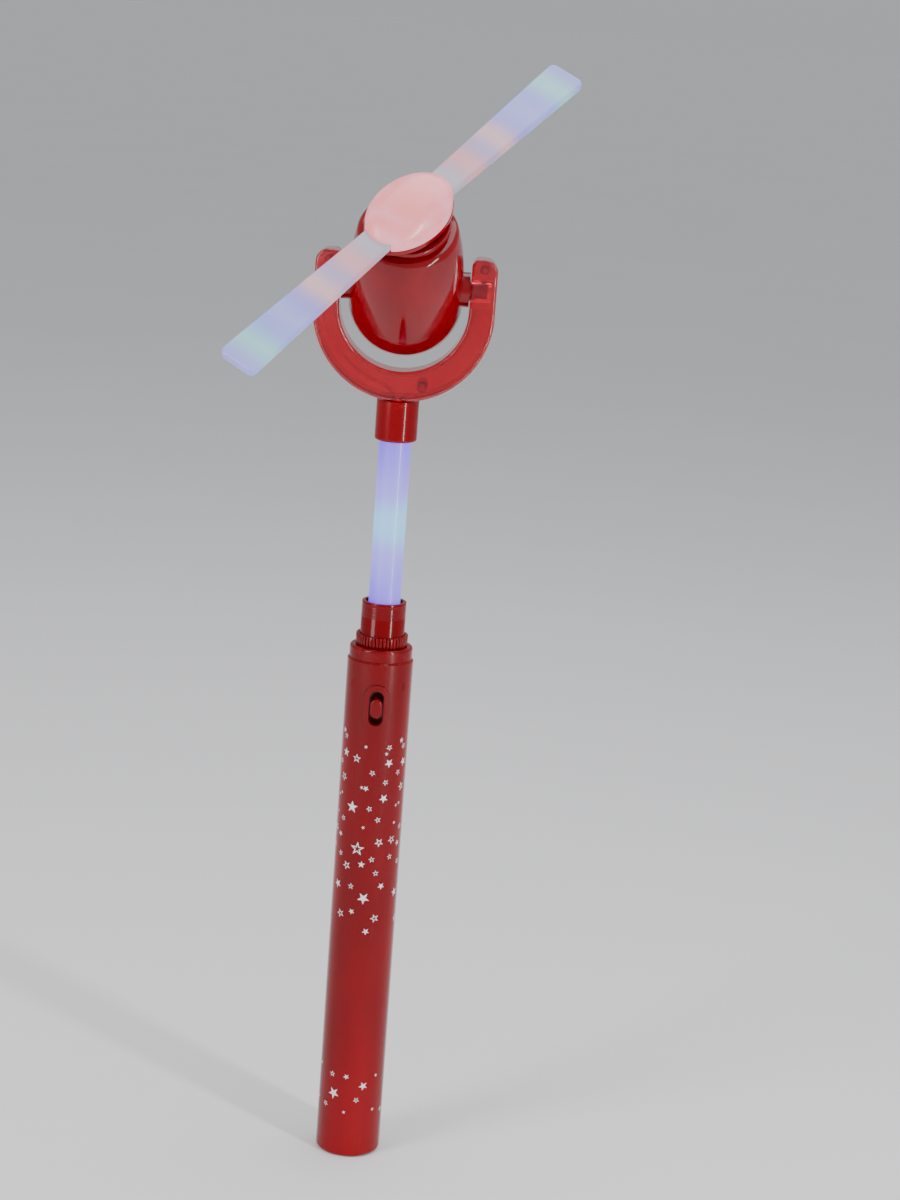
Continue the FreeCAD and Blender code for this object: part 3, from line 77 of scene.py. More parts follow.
def setCamera():
    lens = bpy.data.cameras.new("wandCamera")
    lens.lens = cameraView["lens"]
    lens.sensor_width = cameraView["sensor"]
    lens.clip_start = cameraView["clipStart"]
    camera = bpy.data.objects.new("wandCamera", lens)
    pitch = Matrix.Rotation(math.radians(90.0 - cameraView["pitchDown"]), 4, "X")
    roll = Matrix.Rotation(math.radians(cameraView["roll"]), 4, "Z")
    camera.matrix_world = Matrix.Translation(cameraView["place"]) @ pitch @ roll
    bpy.context.collection.objects.link(camera)
    bpy.context.scene.camera = camera


studio = {
    "horizon": (0.436, 0.444, 0.460),
    "zenith": (0.58, 0.59, 0.61),
    "floorSize": 60.0,
    "floorColours": ((0.80, 0.80, 0.81), (0.84, 0.84, 0.85)),
    "lamps": {
        # name: place, aims at, width, height, watts, colour
        "softboxLeft": ((-0.85, -0.75, 0.62), (0.0, 0.0, 0.20), 0.40, 1.10, 11.0, (1.0, 0.97, 0.95)),
        "stripRight": ((0.62, -0.62, 0.40), (0.0, 0.0, 0.22), 0.07, 0.95, 8.0, (1.0, 0.98, 0.97)),
        "overhead": ((0.15, 0.25, 1.35), (0.0, 0.0, 0.25), 0.9, 0.9, 8.0, (0.97, 0.98, 1.0)),
    },
}


def setLamp(name, place, aim, width, height, watts, colour):
    lamp = bpy.data.lights.new(name, "AREA")
    lamp.shape = "RECTANGLE"
    lamp.size = width
    lamp.size_y = height
    lamp.energy = watts
    lamp.color = colour
    holder = bpy.data.objects.new(name, lamp)
    facing = (Vector(aim) - Vector(place)).to_track_quat("-Z", "Y")
    holder.matrix_world = Matrix.Translation(place) @ facing.to_matrix().to_4x4()
    bpy.context.collection.objects.link(holder)


def setStudio():
    world = bpy.data.worlds.new("studio")
    bpy.context.scene.world = world
    world.use_nodes = True
    nodes = world.node_tree.nodes
    links = world.node_tree.links
    direction = nodes.new("ShaderNodeTexCoord")
    split = nodes.new("ShaderNodeSeparateXYZ")
    blend = nodes.new("ShaderNodeValToRGB")
    blend.color_ramp.elements[0].color = (*studio["horizon"], 1.0)
    blend.color_ramp.elements[1].color = (*studio["zenith"], 1.0)
    links.new(direction.outputs["Generated"], split.inputs[0])
    links.new(split.outputs["Z"], blend.inputs["Fac"])
    links.new(blend.outputs["Color"], nodes["Background"].inputs["Color"])
    for name, values in studio["lamps"].items():
        setLamp(name, *values)


# shader maths

rubMarks = {
    "streakScale": 90.0,
    "streakStretch": (6.0, 6.0, 0.7),
    "streakFrom": (0.62, 0.78),
    "patchScale": 38.0,
    "patchFrom": (0.45, 0.7),
}


class Wire:  # a socket that takes part in sums
    def __init__(self, finish, socket):
        self.finish = finish
        self.socket = socket

    def sum(self, operation, first, second):
        return self.finish.node("ShaderNodeMath", {"operation": operation}, {0: first, 1: second})

    def __add__(self, other):
        return self.sum("ADD", self, other)

    def __radd__(self, other):
        return self.sum("ADD", other, self)

    def __sub__(self, other):
        return self.sum("SUBTRACT", self, other)

    def __rsub__(self, other):
        return self.sum("SUBTRACT", other, self)

    def __mul__(self, other):
        return self.sum("MULTIPLY", self, other)

    def __rmul__(self, other):
        return self.sum("MULTIPLY", other, self)

    def __truediv__(self, other):
        return self.sum("DIVIDE", self, other)

    def __rtruediv__(self, other):
        return self.sum("DIVIDE", other, self)


class Finish:  # one material, its nodes and its shader
    def __init__(self, name, **fixed):
        self.material = bpy.data.materials.new(name)
        self.material.use_nodes = True
        self.tree = self.material.node_tree
        shader = self.tree.nodes["Principled BSDF"]
        self.sockets = {socket.name.replace(" ", "").lower(): socket for socket in shader.inputs}
        for socket, value in fixed.items():
            self.paint(**{socket: value})

    def feed(self, socket, value):
        if isinstance(value, Wire):
            self.tree.links.new(value.socket, socket)
        elif isinstance(value, (tuple, Vector)) and len(value) < len(socket.default_value):
            socket.default_value = (*value, 1.0)
        else:
            socket.default_value = value

    def node(self, kind, settings, sockets, out=0):
        made = self.tree.nodes.new(kind)
        for name, value in settings.items():
            if name == "stops":
                self.setStops(made.color_ramp, value)
            else:
                setattr(made, name, value)
        for name, value in sockets.items():
            self.feed(made.inputs[name], value)
        return Wire(self, made.outputs[out])

    def setStops(self, ramp, stops):
        while len(ramp.elements) < len(stops):
            ramp.elements.new(0.5)
        for element, (place, colour) in zip(ramp.elements, stops):
            element.position = place
            element.color = (*colour, 1.0)

    def paint(self, **sockets):
        for name, value in sockets.items():
            self.feed(self.sockets[name.lower()], value)
        return self

    def place(self):
        return self.node("ShaderNodeTexCoord", {}, {}, "Object")

    def along(self, axis):  # X, Y or Z of the object's own coordinates
        return self.node("ShaderNodeSeparateXYZ", {}, {0: self.place()}, axis)

    def stretched(self, scale):
        return self.node("ShaderNodeMapping", {}, {"Vector": self.place(), "Scale": scale})

    def noise(self, scale, detail=3.0, roughness=0.5, vector=None):
        where = vector or self.place()
        return self.node("ShaderNodeTexNoise", {},
                         {"Vector": where, "Scale": scale, "Detail": detail, "Roughness": roughness}, "Fac")

    def rise(self, value, low, high):  # 0 below low, 1 above high, smooth between
        return self.node("ShaderNodeMapRange", {"interpolation_type": "SMOOTHSTEP"},
                         {"Value": value, "From Min": low, "From Max": high})

    def mix(self, factor, first, second):
        return self.node("ShaderNodeMix", {"data_type": "RGBA"}, {0: factor, 6: first, 7: second}, 2)

    def ramp(self, value, stops):
        return self.node("ShaderNodeValToRGB", {"stops": stops}, {"Fac": value}, "Color")

    def bump(self, height, depth, strength=1.0):
        return self.node("ShaderNodeBump", {}, {"Height": height, "Distance": depth, "Strength": strength})

    def vector(self, operation, sockets, out=0):
        return self.node("ShaderNodeVectorMath", {"operation": operation}, sockets, out)

    def spinRadius(self):  # distance from the rotor's shaft
        arm = self.vector("SUBTRACT", {0: self.place(), 1: spinCentre})
        across = self.vector("CROSS_PRODUCT", {0: arm, 1: spinAxis})
        return self.vector("LENGTH", {0: across}, "Value")

    def scuffs(self, amount):  # thin, mostly lengthwise rub marks, 0 to 1
        streak = self.noise(rubMarks["streakScale"], 2.0, 0.55, self.stretched(rubMarks["streakStretch"]))
        patch = self.noise(rubMarks["patchScale"], 2.0)
        where = self.rise(patch, *rubMarks["patchFrom"])
        return self.rise(streak, *rubMarks["streakFrom"]) * where * amount


# finishes

redGloss = {
    "bright": (0.24, 0.0, 0.004),
    "deep": (0.14, 0.0, 0.002),
    "rubbed": (0.36, 0.02, 0.02),
    "specular": 0.06,
    "roughness": 0.15,
    "coat": 0.36,
    "peelDepth": 0.012 * mm,
    "flowScale": 26.0,
    "smearScale": 60.0,
    "peelScale": 700.0,
    "gritScale": 3200.0,
    "rimScale": 420.0,
    "rimFrom": (0.50, 0.66),
    "marks": 0.8,
    "markShow": 0.45,
    # name: where the rim's wear starts and is full, and how much duller the piece is
    "pieces": {
        "glossyRed": (handleTop - 3.0 * mm, handleTop - 0.3 * mm, 0.0),
        "collarRed": (handleTop - 1.0 * mm, handleTop + 4.0 * mm, 0.04),
        "sleeveRed": (neckHigh.z - 2.0 * mm, neckHigh.z, 0.06),
        "ferruleRed": (ferruleLow.z + 12.0 * mm, ferruleHigh.z, 0.10),
    },
}


def glossyRed(name, wearLow, wearHigh, extraRough):
    finish = Finish(name, coatRoughness=0.07, specularIORLevel=redGloss["specular"])
    flow = finish.noise(redGloss["flowScale"], 3.0, 0.5, finish.stretched((1.0, 1.0, 0.25)))
    band = finish.rise(finish.along("Z"), wearLow, wearHigh)  # the rim that hands and the table rub
    rim = finish.rise(finish.noise(redGloss["rimScale"], 4.0, 0.6), *redGloss["rimFrom"])
    marks = finish.scuffs(redGloss["marks"]) + band * rim * redGloss["marks"]
    colour = finish.mix(finish.rise(flow, 0.35, 0.7), redGloss["deep"], redGloss["bright"])
    colour = finish.mix(marks * redGloss["markShow"], colour, redGloss["rubbed"])
    smear = finish.noise(redGloss["smearScale"], 4.0, 0.6)
    peel = finish.noise(redGloss["peelScale"], 2.0)
    grit = finish.noise(redGloss["gritScale"], 2.0)
    finish.paint(baseColor=colour,
                 roughness=smear * 0.10 + marks * 0.30 + (redGloss["roughness"] - 0.05 + extraRough),
                 coatWeight=redGloss["coat"] - marks * 0.4,
                 normal=finish.bump(peel + grit * 0.35, redGloss["peelDepth"], 0.55))
    return finish.material


redClear = {
    "specular": 0.20,
    "coat": 0.26,
    "peelDepth": 0.010 * mm,
    "flowScale": 45.0,
    "smearScale": 80.0,
    "peelScale": 600.0,
    # name: how clear it is, roughness, deep colour, pale colour
    "pieces": {
        "yokeRed": (0.92, 0.03, (0.88, 0.05, 0.09), (0.95, 0.10, 0.14)),
        "jarRed": (0.22, 0.06, (0.20, 0.0, 0.003), (0.28, 0.0, 0.006)),
        "baseRed": (0.10, 0.08, (0.24, 0.0, 0.004), (0.32, 0.0, 0.008)),
    },
}


def clearRed(name, clearness, roughness, deep, pale):
    finish = Finish(name, transmissionWeight=clearness, coatRoughness=0.04,
                    specularIORLevel=redClear["specular"])
    flow = finish.noise(redClear["flowScale"], 3.0)
    marks = finish.scuffs(0.6)
    smear = finish.noise(redClear["smearScale"], 3.0)
    peel = finish.noise(redClear["peelScale"], 2.0)
    finish.paint(baseColor=finish.mix(finish.rise(flow, 0.3, 0.75), deep, pale),
                 roughness=smear * 0.08 + marks * 0.25 + roughness,
                 coatWeight=redClear["coat"] - marks * 0.2,
                 normal=finish.bump(peel, redClear["peelDepth"], 0.5))
    return finish.material


bracketRed = {
    "deep": (0.16, 0.004, 0.008),
    "pale": (0.26, 0.010, 0.016),
    "grainScale": 1200.0,
    "grainDepth": 0.02 * mm,
}


def darkRed():
    finish = Finish("darkRed", coatWeight=0.1)
    grain = finish.noise(bracketRed["grainScale"], 3.0)
    finish.paint(baseColor=finish.mix(grain, bracketRed["deep"], bracketRed["pale"]),
                 roughness=grain * 0.2 + 0.35,
                 normal=finish.bump(grain, bracketRed["grainDepth"], 0.6))
    return finish.material


# painted glow: the tube is no lamp; its emission paints the light of the white LEDs inside it, with a painted
# hot spot at mid-height and a brighter side facing their board
tubeGlow = {
    "strength": 1.25,
    "ends": (0.16, 0.05, 1.0),
    "middle": (0.32, 0.28, 1.0),
    "hot": (0.22, 0.85, 1.0),
    "hotHeight": 0.50,     # share of the visible length, from the neck's rim up
    "hotReach": (1.0 * mm, 13.0 * mm),
    "endFrom": 10.0 * mm,
    "endShare": 0.52,
    "boardSide": (0.30, 0.20, 0.95),
    "sideReach": (-6.0 * mm, 5.0 * mm),     # the lamps' board faces -X
    "driftScale": 38.0,
    "frostScale": 2600.0,
    "frost": ((0.08, 0.07, 0.22), (0.13, 0.12, 0.32)),
}


def glowingTube():
    length = ferruleLow.z - neckHigh.z
    hotPlace = neckHigh.z + length * tubeGlow["hotHeight"]
    finish = Finish("glowingTube", emissionStrength=tubeGlow["strength"], coatWeight=0.3, coatRoughness=0.1)
    height = finish.along("Z")
    drift = finish.noise(tubeGlow["driftScale"], 2.0, 0.5, finish.stretched((1.0, 1.0, 0.8)))
    fromHot = finish.node("ShaderNodeMath", {"operation": "ABSOLUTE"}, {0: height - hotPlace})
    hot = 1.0 - finish.rise(fromHot + (drift - 0.5) * 0.012, *tubeGlow["hotReach"])
    end = finish.rise(fromHot + (drift - 0.5) * 0.016, tubeGlow["endFrom"], length * tubeGlow["endShare"])
    side = finish.rise(finish.along("X"), *tubeGlow["sideReach"])
    body = finish.mix(end, tubeGlow["middle"], tubeGlow["ends"])
    body = finish.mix(side * 0.4, body, tubeGlow["boardSide"])
    frost = finish.noise(tubeGlow["frostScale"], 2.0)
    finish.paint(baseColor=finish.mix(frost, *tubeGlow["frost"]),
                 emissionColor=finish.mix(hot * 0.75, body, tubeGlow["hot"]),
                 roughness=frost * 0.15 + 0.38,
                 normal=finish.bump(frost, 0.010 * mm, 0.4))
    return finish.material


# painted glow: the blades are no lamps; their emission paints the coloured light of the LEDs inside them, in
# bands by distance from the shaft
bladeGlow = {
    "strength": 0.75,
    "lampReach": 6.0 * mm,
    "lampHalf": 1.8 * mm,
    "lampShow": 0.75,
    "tipGap": 11.4 * mm,
    # share of the reach from the shaft, and the glow there
    "stops": [
        (0.10, (0.50, 0.44, 0.48)),
        (0.34, (0.26, 0.20, 0.30)),
        (0.58, (0.12, 0.06, 0.90)),
        (0.80, (0.10, 0.14, 1.00)),
        (1.00, (0.20, 0.14, 0.95)),
    ],
    "lamps": {
        "red_leds": (1.0, 0.16, 0.10),
        "orange_leds": (1.0, 0.42, 0.14),
        "blue_leds": (0.24, 0.30, 1.0),
        "green_leds": (0.16, 0.92, 0.62),
    },
    "cloudScale": 70.0,
    "frostScale": 2200.0,
    "cloud": ((0.20, 0.21, 0.27), (0.30, 0.30, 0.38)),
}


def lampRadius(node):  # how far one colour's lamps are from the shaft
    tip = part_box(node)[1] - spinCentre
    return (tip - spinAxis * tip.dot(spinAxis)).length - bladeGlow["lampHalf"]


def frostedGlowingBlade():
    finish = Finish("frostedGlowingBlade", emissionStrength=bladeGlow["strength"], transmissionWeight=0.15,
                    subsurfaceWeight=0.25, subsurfaceScale=2.0 * mm, coatWeight=0.15)
    radius = finish.spinRadius()
    reach = lampRadius("green_leds") + bladeGlow["tipGap"]
    glow = finish.ramp(radius / reach, bladeGlow["stops"])
    # each colour's LEDs add a painted spot of their light where they sit along the blade
    for node, colour in bladeGlow["lamps"].items():
        offset = (radius - lampRadius(node)) / bladeGlow["lampReach"]
        spot = finish.node("ShaderNodeMath", {"operation": "EXPONENT"}, {0: offset * offset * -1.0})
        glow = finish.mix(spot * bladeGlow["lampShow"], glow, colour)
    frost = finish.noise(bladeGlow["frostScale"], 3.0)
    cloud = finish.noise(bladeGlow["cloudScale"], 3.0)
    marks = finish.scuffs(0.7)
    finish.paint(baseColor=finish.mix(cloud, *bladeGlow["cloud"]),
                 emissionColor=glow,
                 roughness=frost * 0.12 + marks * 0.2 + 0.36,
                 normal=finish.bump(frost + cloud * 0.5, 0.018 * mm, 0.5))
    return finish.material


# painted glow: the dome is no lamp; its emission paints the light of the hub LED inside it, a red heart near
# the shaft fading to a paler pink rim
domeGlow = {
    "strength": 1.0,
    "rim": (1.0, 0.34, 0.42),
    "heart": (1.0, 0.08, 0.08),
    "mist": (1.0, 0.16, 0.19),
    "heartReach": (1.0 * mm, 13.0 * mm),
    "cloudScale": 95.0,
    "frostScale": 2400.0,
    "cloud": ((0.34, 0.14, 0.16), (0.44, 0.22, 0.24)),
}


def milkyGlowingDome():
    finish = Finish("milkyGlowingDome", emissionStrength=domeGlow["strength"], subsurfaceWeight=0.4,
                    subsurfaceScale=3.0 * mm, coatWeight=0.35, coatRoughness=0.12)
    radius = finish.spinRadius()
    cloud = finish.noise(domeGlow["cloudScale"], 3.0)
    heart = 1.0 - finish.rise(radius + (cloud - 0.5) * 0.010, *domeGlow["heartReach"])
    glow = finish.mix(finish.rise(cloud, 0.35, 0.65), domeGlow["rim"], domeGlow["mist"])
    glow = finish.mix(heart * 0.75, glow, domeGlow["heart"])
    frost = finish.noise(domeGlow["frostScale"], 2.0)
    finish.paint(baseColor=finish.mix(cloud, *domeGlow["cloud"]),
                 emissionColor=glow,
                 roughness=frost * 0.12 + 0.30,
                 normal=finish.bump(frost, 0.012 * mm, 0.4))
    return finish.material


starPrint = {
    "silver": ((0.62, 0.58, 0.62), (0.86, 0.84, 0.88)),
    "rubbed": (0.50, 0.05, 0.06),     # where the red shows through
    "rubScale": 1500.0,
    "rubFrom": (0.60, 0.68),
    "toneScale": 300.0,
    "grainScale": 3000.0,
}


def printedStar():
    finish = Finish("printedStar", coatWeight=0.2)
    rubbed = finish.rise(finish.noise(starPrint["rubScale"], 4.0, 0.65), *starPrint["rubFrom"])
    tone = finish.noise(starPrint["toneScale"], 3.0)
    silver = finish.mix(tone, *starPrint["silver"])
    grain = finish.noise(starPrint["grainScale"], 2.0)
    finish.paint(baseColor=finish.mix(rubbed * 0.75, silver, starPrint["rubbed"]),
                 metallic=0.25 - rubbed * 0.2,
                 roughness=tone * 0.2 + 0.30,
                 normal=finish.bump(grain, 0.006 * mm, 0.5))
    return finish.material


metals = {
    "stainScale": 160.0,
    "pieces": {
        # name: dark, bright, roughness, how fine its brush lines are
        "screwSteel": ((0.42, 0.42, 0.44), (0.72, 0.72, 0.74), 0.28, 900.0),
        "motorSteel": ((0.50, 0.50, 0.51), (0.78, 0.78, 0.80), 0.24, 500.0),
        "plateNickel": ((0.60, 0.58, 0.54), (0.84, 0.82, 0.78), 0.18, 700.0),
        "brass": ((0.58, 0.40, 0.14), (0.86, 0.68, 0.32), 0.22, 800.0),
        "copperWinding": ((0.45, 0.16, 0.06), (0.82, 0.38, 0.20), 0.30, 2500.0),
    },
}


def metal(name, dark, bright, roughness, lines):
    finish = Finish(name)
    brushed = finish.noise(lines, 3.0, 0.6, finish.stretched((1.0, 1.0, 6.0)))
    stain = finish.noise(metals["stainScale"], 4.0, 0.6)
    finish.paint(baseColor=finish.mix(brushed * 0.6 + stain * 0.4, dark, bright),
                 metallic=1.0 - finish.rise(stain, 0.62, 0.8) * 0.15,
                 roughness=brushed * 0.18 + stain * 0.10 + roughness,
                 normal=finish.bump(brushed, 0.008 * mm, 0.6))
    return finish.material


mouldings = {
    "grainScale": 1400.0,
    "cloudScale": 120.0,
    "grainDepth": 0.015 * mm,
    "pieces": {
        # name: dark, bright, roughness
        "magnetBlack": ((0.03, 0.03, 0.035), (0.10, 0.10, 0.11), 0.55),
        "blackPlastic": ((0.012, 0.012, 0.013), (0.035, 0.035, 0.036), 0.40),
    },
}


def moulded(name, dark, bright, roughness):
    finish = Finish(name)
    grain = finish.noise(mouldings["grainScale"], 3.0)
    cloud = finish.noise(mouldings["cloudScale"], 3.0)
    finish.paint(baseColor=finish.mix(cloud, dark, bright),
                 roughness=grain * 0.14 + roughness,
                 coatWeight=cloud * 0.1,
                 normal=finish.bump(grain, mouldings["grainDepth"], 0.6))
    return finish.material


boards = {
    "padScale": 260.0,
    "gapShade": 0.6,
    "gapWidth": 0.06,
    "weaveScale": 900.0,
    "pieces": {
        # name: the lacquer's colour, the tracks' colour
        "greenBoard": ((0.02, 0.16, 0.06), (0.05, 0.28, 0.11)),
        "whiteBoard": ((0.80, 0.80, 0.80), (0.88, 0.86, 0.80)),
    },
}


def board(name, lacquer, track):
    finish = Finish(name, coatWeight=0.3)
    gap = tuple(part * boards["gapShade"] for part in lacquer)
    pads = finish.node("ShaderNodeTexBrick", {"offset": 0.5}, {
        "Vector": finish.place(), "Scale": boards["padScale"], "Color1": lacquer, "Color2": track,
        "Mortar": gap, "Mortar Size": boards["gapWidth"]}, "Color")
    weave = finish.noise(boards["weaveScale"], 3.0)
    finish.paint(baseColor=finish.mix(weave * 0.4, pads, lacquer),
                 roughness=weave * 0.2 + 0.28,
                 normal=finish.bump(weave, 0.012 * mm, 0.5))
    return finish.material


cellPrint = {
    "jacket": (0.03, 0.035, 0.05),
    "band": (0.55, 0.33, 0.10),
    "dust": (0.12, 0.12, 0.14),
    "metal": (0.70, 0.70, 0.72),
    # shares of a cell's length
    "bandFrom": (0.70, 0.71),
    "topFrom": (0.965, 0.97),
    "baseTo": (0.012, 0.016),
    "toneScale": 200.0,
}


def cellJacket():
    cellLow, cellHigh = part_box("battery_cell_1")
    length = cellHigh.z - cellLow.z
    finish = Finish("cellJacket", coatWeight=0.6, coatRoughness=0.08)
    fromBase = finish.along("Z") - cellLow.z
    height = finish.node("ShaderNodeMath", {"operation": "MODULO"}, {0: fromBase, 1: length})
    share = height / length
    band = finish.rise(share, *cellPrint["bandFrom"])
    metalEnd = finish.rise(share, *cellPrint["topFrom"]) + (1.0 - finish.rise(share, *cellPrint["baseTo"]))
    tone = finish.noise(cellPrint["toneScale"], 3.0)
    label = finish.mix(band, cellPrint["jacket"], cellPrint["band"])
    colour = finish.mix(tone * 0.25, label, cellPrint["dust"])
    finish.paint(baseColor=finish.mix(metalEnd, colour, cellPrint["metal"]),
                 metallic=metalEnd * 0.9 + band * 0.3,
                 roughness=tone * 0.15 + 0.22,
                 normal=finish.bump(tone, 0.010 * mm, 0.4))
    return finish.material


lamps = {
    "speckleScale": 1800.0,
    "paleShare": 0.6,
    "pieces": {
        # name: colour, strength
        "whiteLamp": ((0.80, 0.90, 1.0), 4.0),
        "pinkLamp": ((1.0, 0.55, 0.68), 3.0),
        "redLamp": ((1.0, 0.08, 0.05), 3.0),
        "orangeLamp": ((1.0, 0.36, 0.08), 3.0),
        "blueLamp": ((0.12, 0.22, 1.0), 3.0),
        "greenLamp": ((0.08, 0.95, 0.45), 3.0),
    },
}


def lamp(name, colour, strength):
    finish = Finish(name, emissionStrength=strength, coatWeight=0.5)
    speckle = finish.noise(lamps["speckleScale"], 2.0)
    paler = tuple(lamps["paleShare"] + (1.0 - lamps["paleShare"]) * part for part in colour)
    lens = finish.mix(speckle, colour, paler)
    finish.paint(baseColor=lens, emissionColor=lens,
                 roughness=speckle * 0.2 + 0.15,
                 normal=finish.bump(speckle, 0.006 * mm, 0.4))
    return finish.material


leads = {
    "deep": (0.42, 0.01, 0.015),
    "pale": (0.62, 0.03, 0.03),
    "toneScale": 500.0,
}


def leadJacket():
    finish = Finish("leadJacket", coatWeight=0.3)
    tone = finish.noise(leads["toneScale"], 3.0)
    finish.paint(baseColor=finish.mix(tone, leads["deep"], leads["pale"]),
                 roughness=tone * 0.2 + 0.3,
                 normal=finish.bump(tone, 0.01 * mm, 0.5))
    return finish.material


def paleFloor():
    finish = Finish("paleFloor", specularIORLevel=0.05)
    tone = finish.noise(3.0, 3.0)
    finish.paint(baseColor=finish.mix(tone, *studio["floorColours"]), roughness=tone * 0.1 + 0.6)
    return finish.material


nodeFinishes = {
    "glossyRed": ["handle_front_shell", "handle_back_shell", "battery_door", "switch_bezel", "switch_knob"],
    "collarRed": ["handle_collar", "lock_ring"],
    "sleeveRed": ["neck_sleeve"],
    "ferruleRed": ["ferrule"],
    "yokeRed": ["yoke_front_shell", "yoke_back_shell"],
    "jarRed": ["motor_housing"],
    "baseRed": ["hub_base"],
    "darkRed": ["motor_bracket"],
    "glowingTube": ["light_tube"],
    "frostedGlowingBlade": ["blade_1", "blade_2"],
    "milkyGlowingDome": ["hub_dome"],
    "cellJacket": ["battery_cell_1", "battery_cell_2", "battery_cell_3"],
    "leadJacket": ["battery_lead", "head_leads", "motor_leads"],
    "screwSteel": ["handle_screws", "battery_door_screw", "yoke_screws", "bracket_screws", "hub_screws"],
    "motorSteel": ["switch_body", "motor_can", "motor_shaft"],
    "plateNickel": ["spring_plate", "contact_plate", "battery_spring"],
    "brass": ["motor_front_bush", "motor_terminals", "slip_rings", "contact_fingers"],
    "copperWinding": ["motor_armature", "motor_commutator"],
    "magnetBlack": ["motor_magnets"],
    "blackPlastic": ["switch_lever", "control_chip", "board_resistors", "motor_end_cap"],
    "greenBoard": ["control_board", "tube_led_board", "slip_ring_board", "hub_board"],
    "whiteBoard": ["blade_board_1", "blade_board_2"],
    "whiteLamp": ["tube_leds"],
    "pinkLamp": ["hub_led"],
    "redLamp": ["red_leds"],
    "orangeLamp": ["orange_leds"],
    "blueLamp": ["blue_leds"],
    "greenLamp": ["green_leds"],
}


def makeFinishes():
    made = [darkRed(), glowingTube(), frostedGlowingBlade(), milkyGlowingDome(), cellJacket(), leadJacket()]
    kinds = ((glossyRed, redGloss), (clearRed, redClear), (metal, metals), (moulded, mouldings),
             (board, boards), (lamp, lamps))
    for maker, table in kinds:
        for name, values in table["pieces"].items():
            made.append(maker(name, *values))
    return {material.name: material for material in made}


def finishNodes(finishes):
    for name, nodes in nodeFinishes.items():
        for node in nodes:
            for slot in frame["nodes"][node].material_slots:
                slot.material = finishes[name]


# pieces


def finishPiece(mesh, name, body, material, smoothBelow=35.0):
    data = bpy.data.meshes.new(name)
    mesh.to_mesh(data)
    mesh.free()
    data.materials.append(material)
    piece = bpy.data.objects.new(name, data)
    bpy.context.collection.objects.link(piece)
    data.shade_smooth()
    data.set_sharp_from_angle(angle=math.radians(smoothBelow))
    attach(piece, body)
    print("piece %-14s %6d faces on %s" % (name, len(data.polygons), body))
    return piece


stars = {
    "proud": 0.05 * mm,
    "sunk": 0.02 * mm,
    "innerShare": 0.38,     # the notches' radius over the points' radius
    "holeShare": 0.60,      # an outlined star's hole over its width
    "growth": 1.14,
    "repeats": ((0.0, 0.0), (120.0, -2.6 * mm), (240.0, 2.2 * mm)),
    "doorMargin": 0.5 * mm,
    "seamMargin": 0.4 * mm,
    "tiltSteps": (37, 23),  # degrees that the tilt moves on by, from star to star and from repeat to repeat
    "tiltSpan": 40,
    # across (mm), whether it is solid, and then the angle (degrees from the switch) and height (mm) of each
    "groups": (
        (1.3, True, ((-13, 167.0), (50, 136.8), (-60.5, 146.9), (-8.6, 135.2), (-16, 150.9), (51.6, 143.7),
                     (49, 33.6), (-9, 18.9), (46, 19.5), (24, 164.6))),
        (2.1, True, ((55.5, 169.2), (-8.5, 150.7), (-56, 130.7), (-8.5, 33.7), (-19.6, 101.2))),
        (2.2, False, ((-57.7, 169.4), (28.8, 167.0), (1, 157.0), (51, 156.8), (25.6, 153.3), (0, 142.8),
                      (-51, 137.2), (16, 138.5), (-52, 123.2), (10, 122.7), (44.6, 123.3), (18.8, 117.2),
                      (-24, 111.2), (-36, 33.7), (12, 24.2), (-48, 20.6))),
        (2.5, True, ((-7.4, 120.5), (30.6, 111.9), (8, 93.7))),
        (3.1, False, ((-29, 161.9), (-56.6, 153.4), (21, 129.5), (46.5, 130.1), (-35.7, 119.1), (-42.6, 99.4),
                      (22.3, 99.0))),
        (3.2, True, ((-55, 163.1), (30, 160.9), (24, 147.0), (-54.5, 110.7), (23, 30.0))),
        (4.3, True, ((-31.9, 142.6), (0, 107.0), (-31, 26.0))),
        (5.0, False, ((-16.6, 126.5),)),
    ),
}


def starOutline(mesh, radius):
    made = bmesh.ops.create_circle(mesh, cap_ends=False, radius=radius, segments=10,
                                   matrix=Matrix.Rotation(math.radians(90.0), 4, "Z"))
    for notch in made["verts"][1::2]:
        notch.co = notch.co * stars["innerShare"]


def addStar(mesh, angle, height, across, solid, tilt):
    flat = bmesh.new()
    starOutline(flat, across / 2.0)
    if solid:
        bmesh.ops.contextual_create(flat, geom=flat.edges[:])
        bmesh.ops.poke(flat, faces=flat.faces[:])
    else:
        starOutline(flat, across / 2.0 * stars["holeShare"])
        bmesh.ops.bridge_loops(flat, edges=flat.edges[:])
    bmesh.ops.subdivide_edges(flat, edges=flat.edges[:], cuts=1, use_grid_fill=True)
    bmesh.ops.rotate(flat, verts=flat.verts[:], matrix=Matrix.Rotation(tilt, 3, "Z"))
    bmesh.ops.recalc_face_normals(flat, faces=flat.faces[:])
    if sum(face.normal.z for face in flat.faces) < 0.0:
        bmesh.ops.reverse_faces(flat, faces=flat.faces[:])
    thick = stars["proud"] + stars["sunk"]
    raised = bmesh.ops.extrude_face_region(flat, geom=flat.faces[:])
    lifted = [item for item in raised["geom"] if isinstance(item, bmesh.types.BMVert)]
    bmesh.ops.translate(flat, verts=lifted, vec=(0.0, 0.0, thick))
    bmesh.ops.recalc_face_normals(flat, faces=flat.faces[:])
    # wrap the flat print round the barrel: across becomes an angle, thickness a radius
    for vert in flat.verts:
        turn = angle + vert.co.x / handleRadius
        radius = handleRadius - stars["sunk"] + vert.co.z
        vert.co = Vector((radius * math.sin(turn), -radius * math.cos(turn), height + vert.co.y))
    bmesh.ops.recalc_face_normals(flat, faces=flat.faces[:])
    data = bpy.data.meshes.new("starDraft")
    flat.to_mesh(data)
    flat.free()
    mesh.from_mesh(data)
    bpy.data.meshes.remove(data)


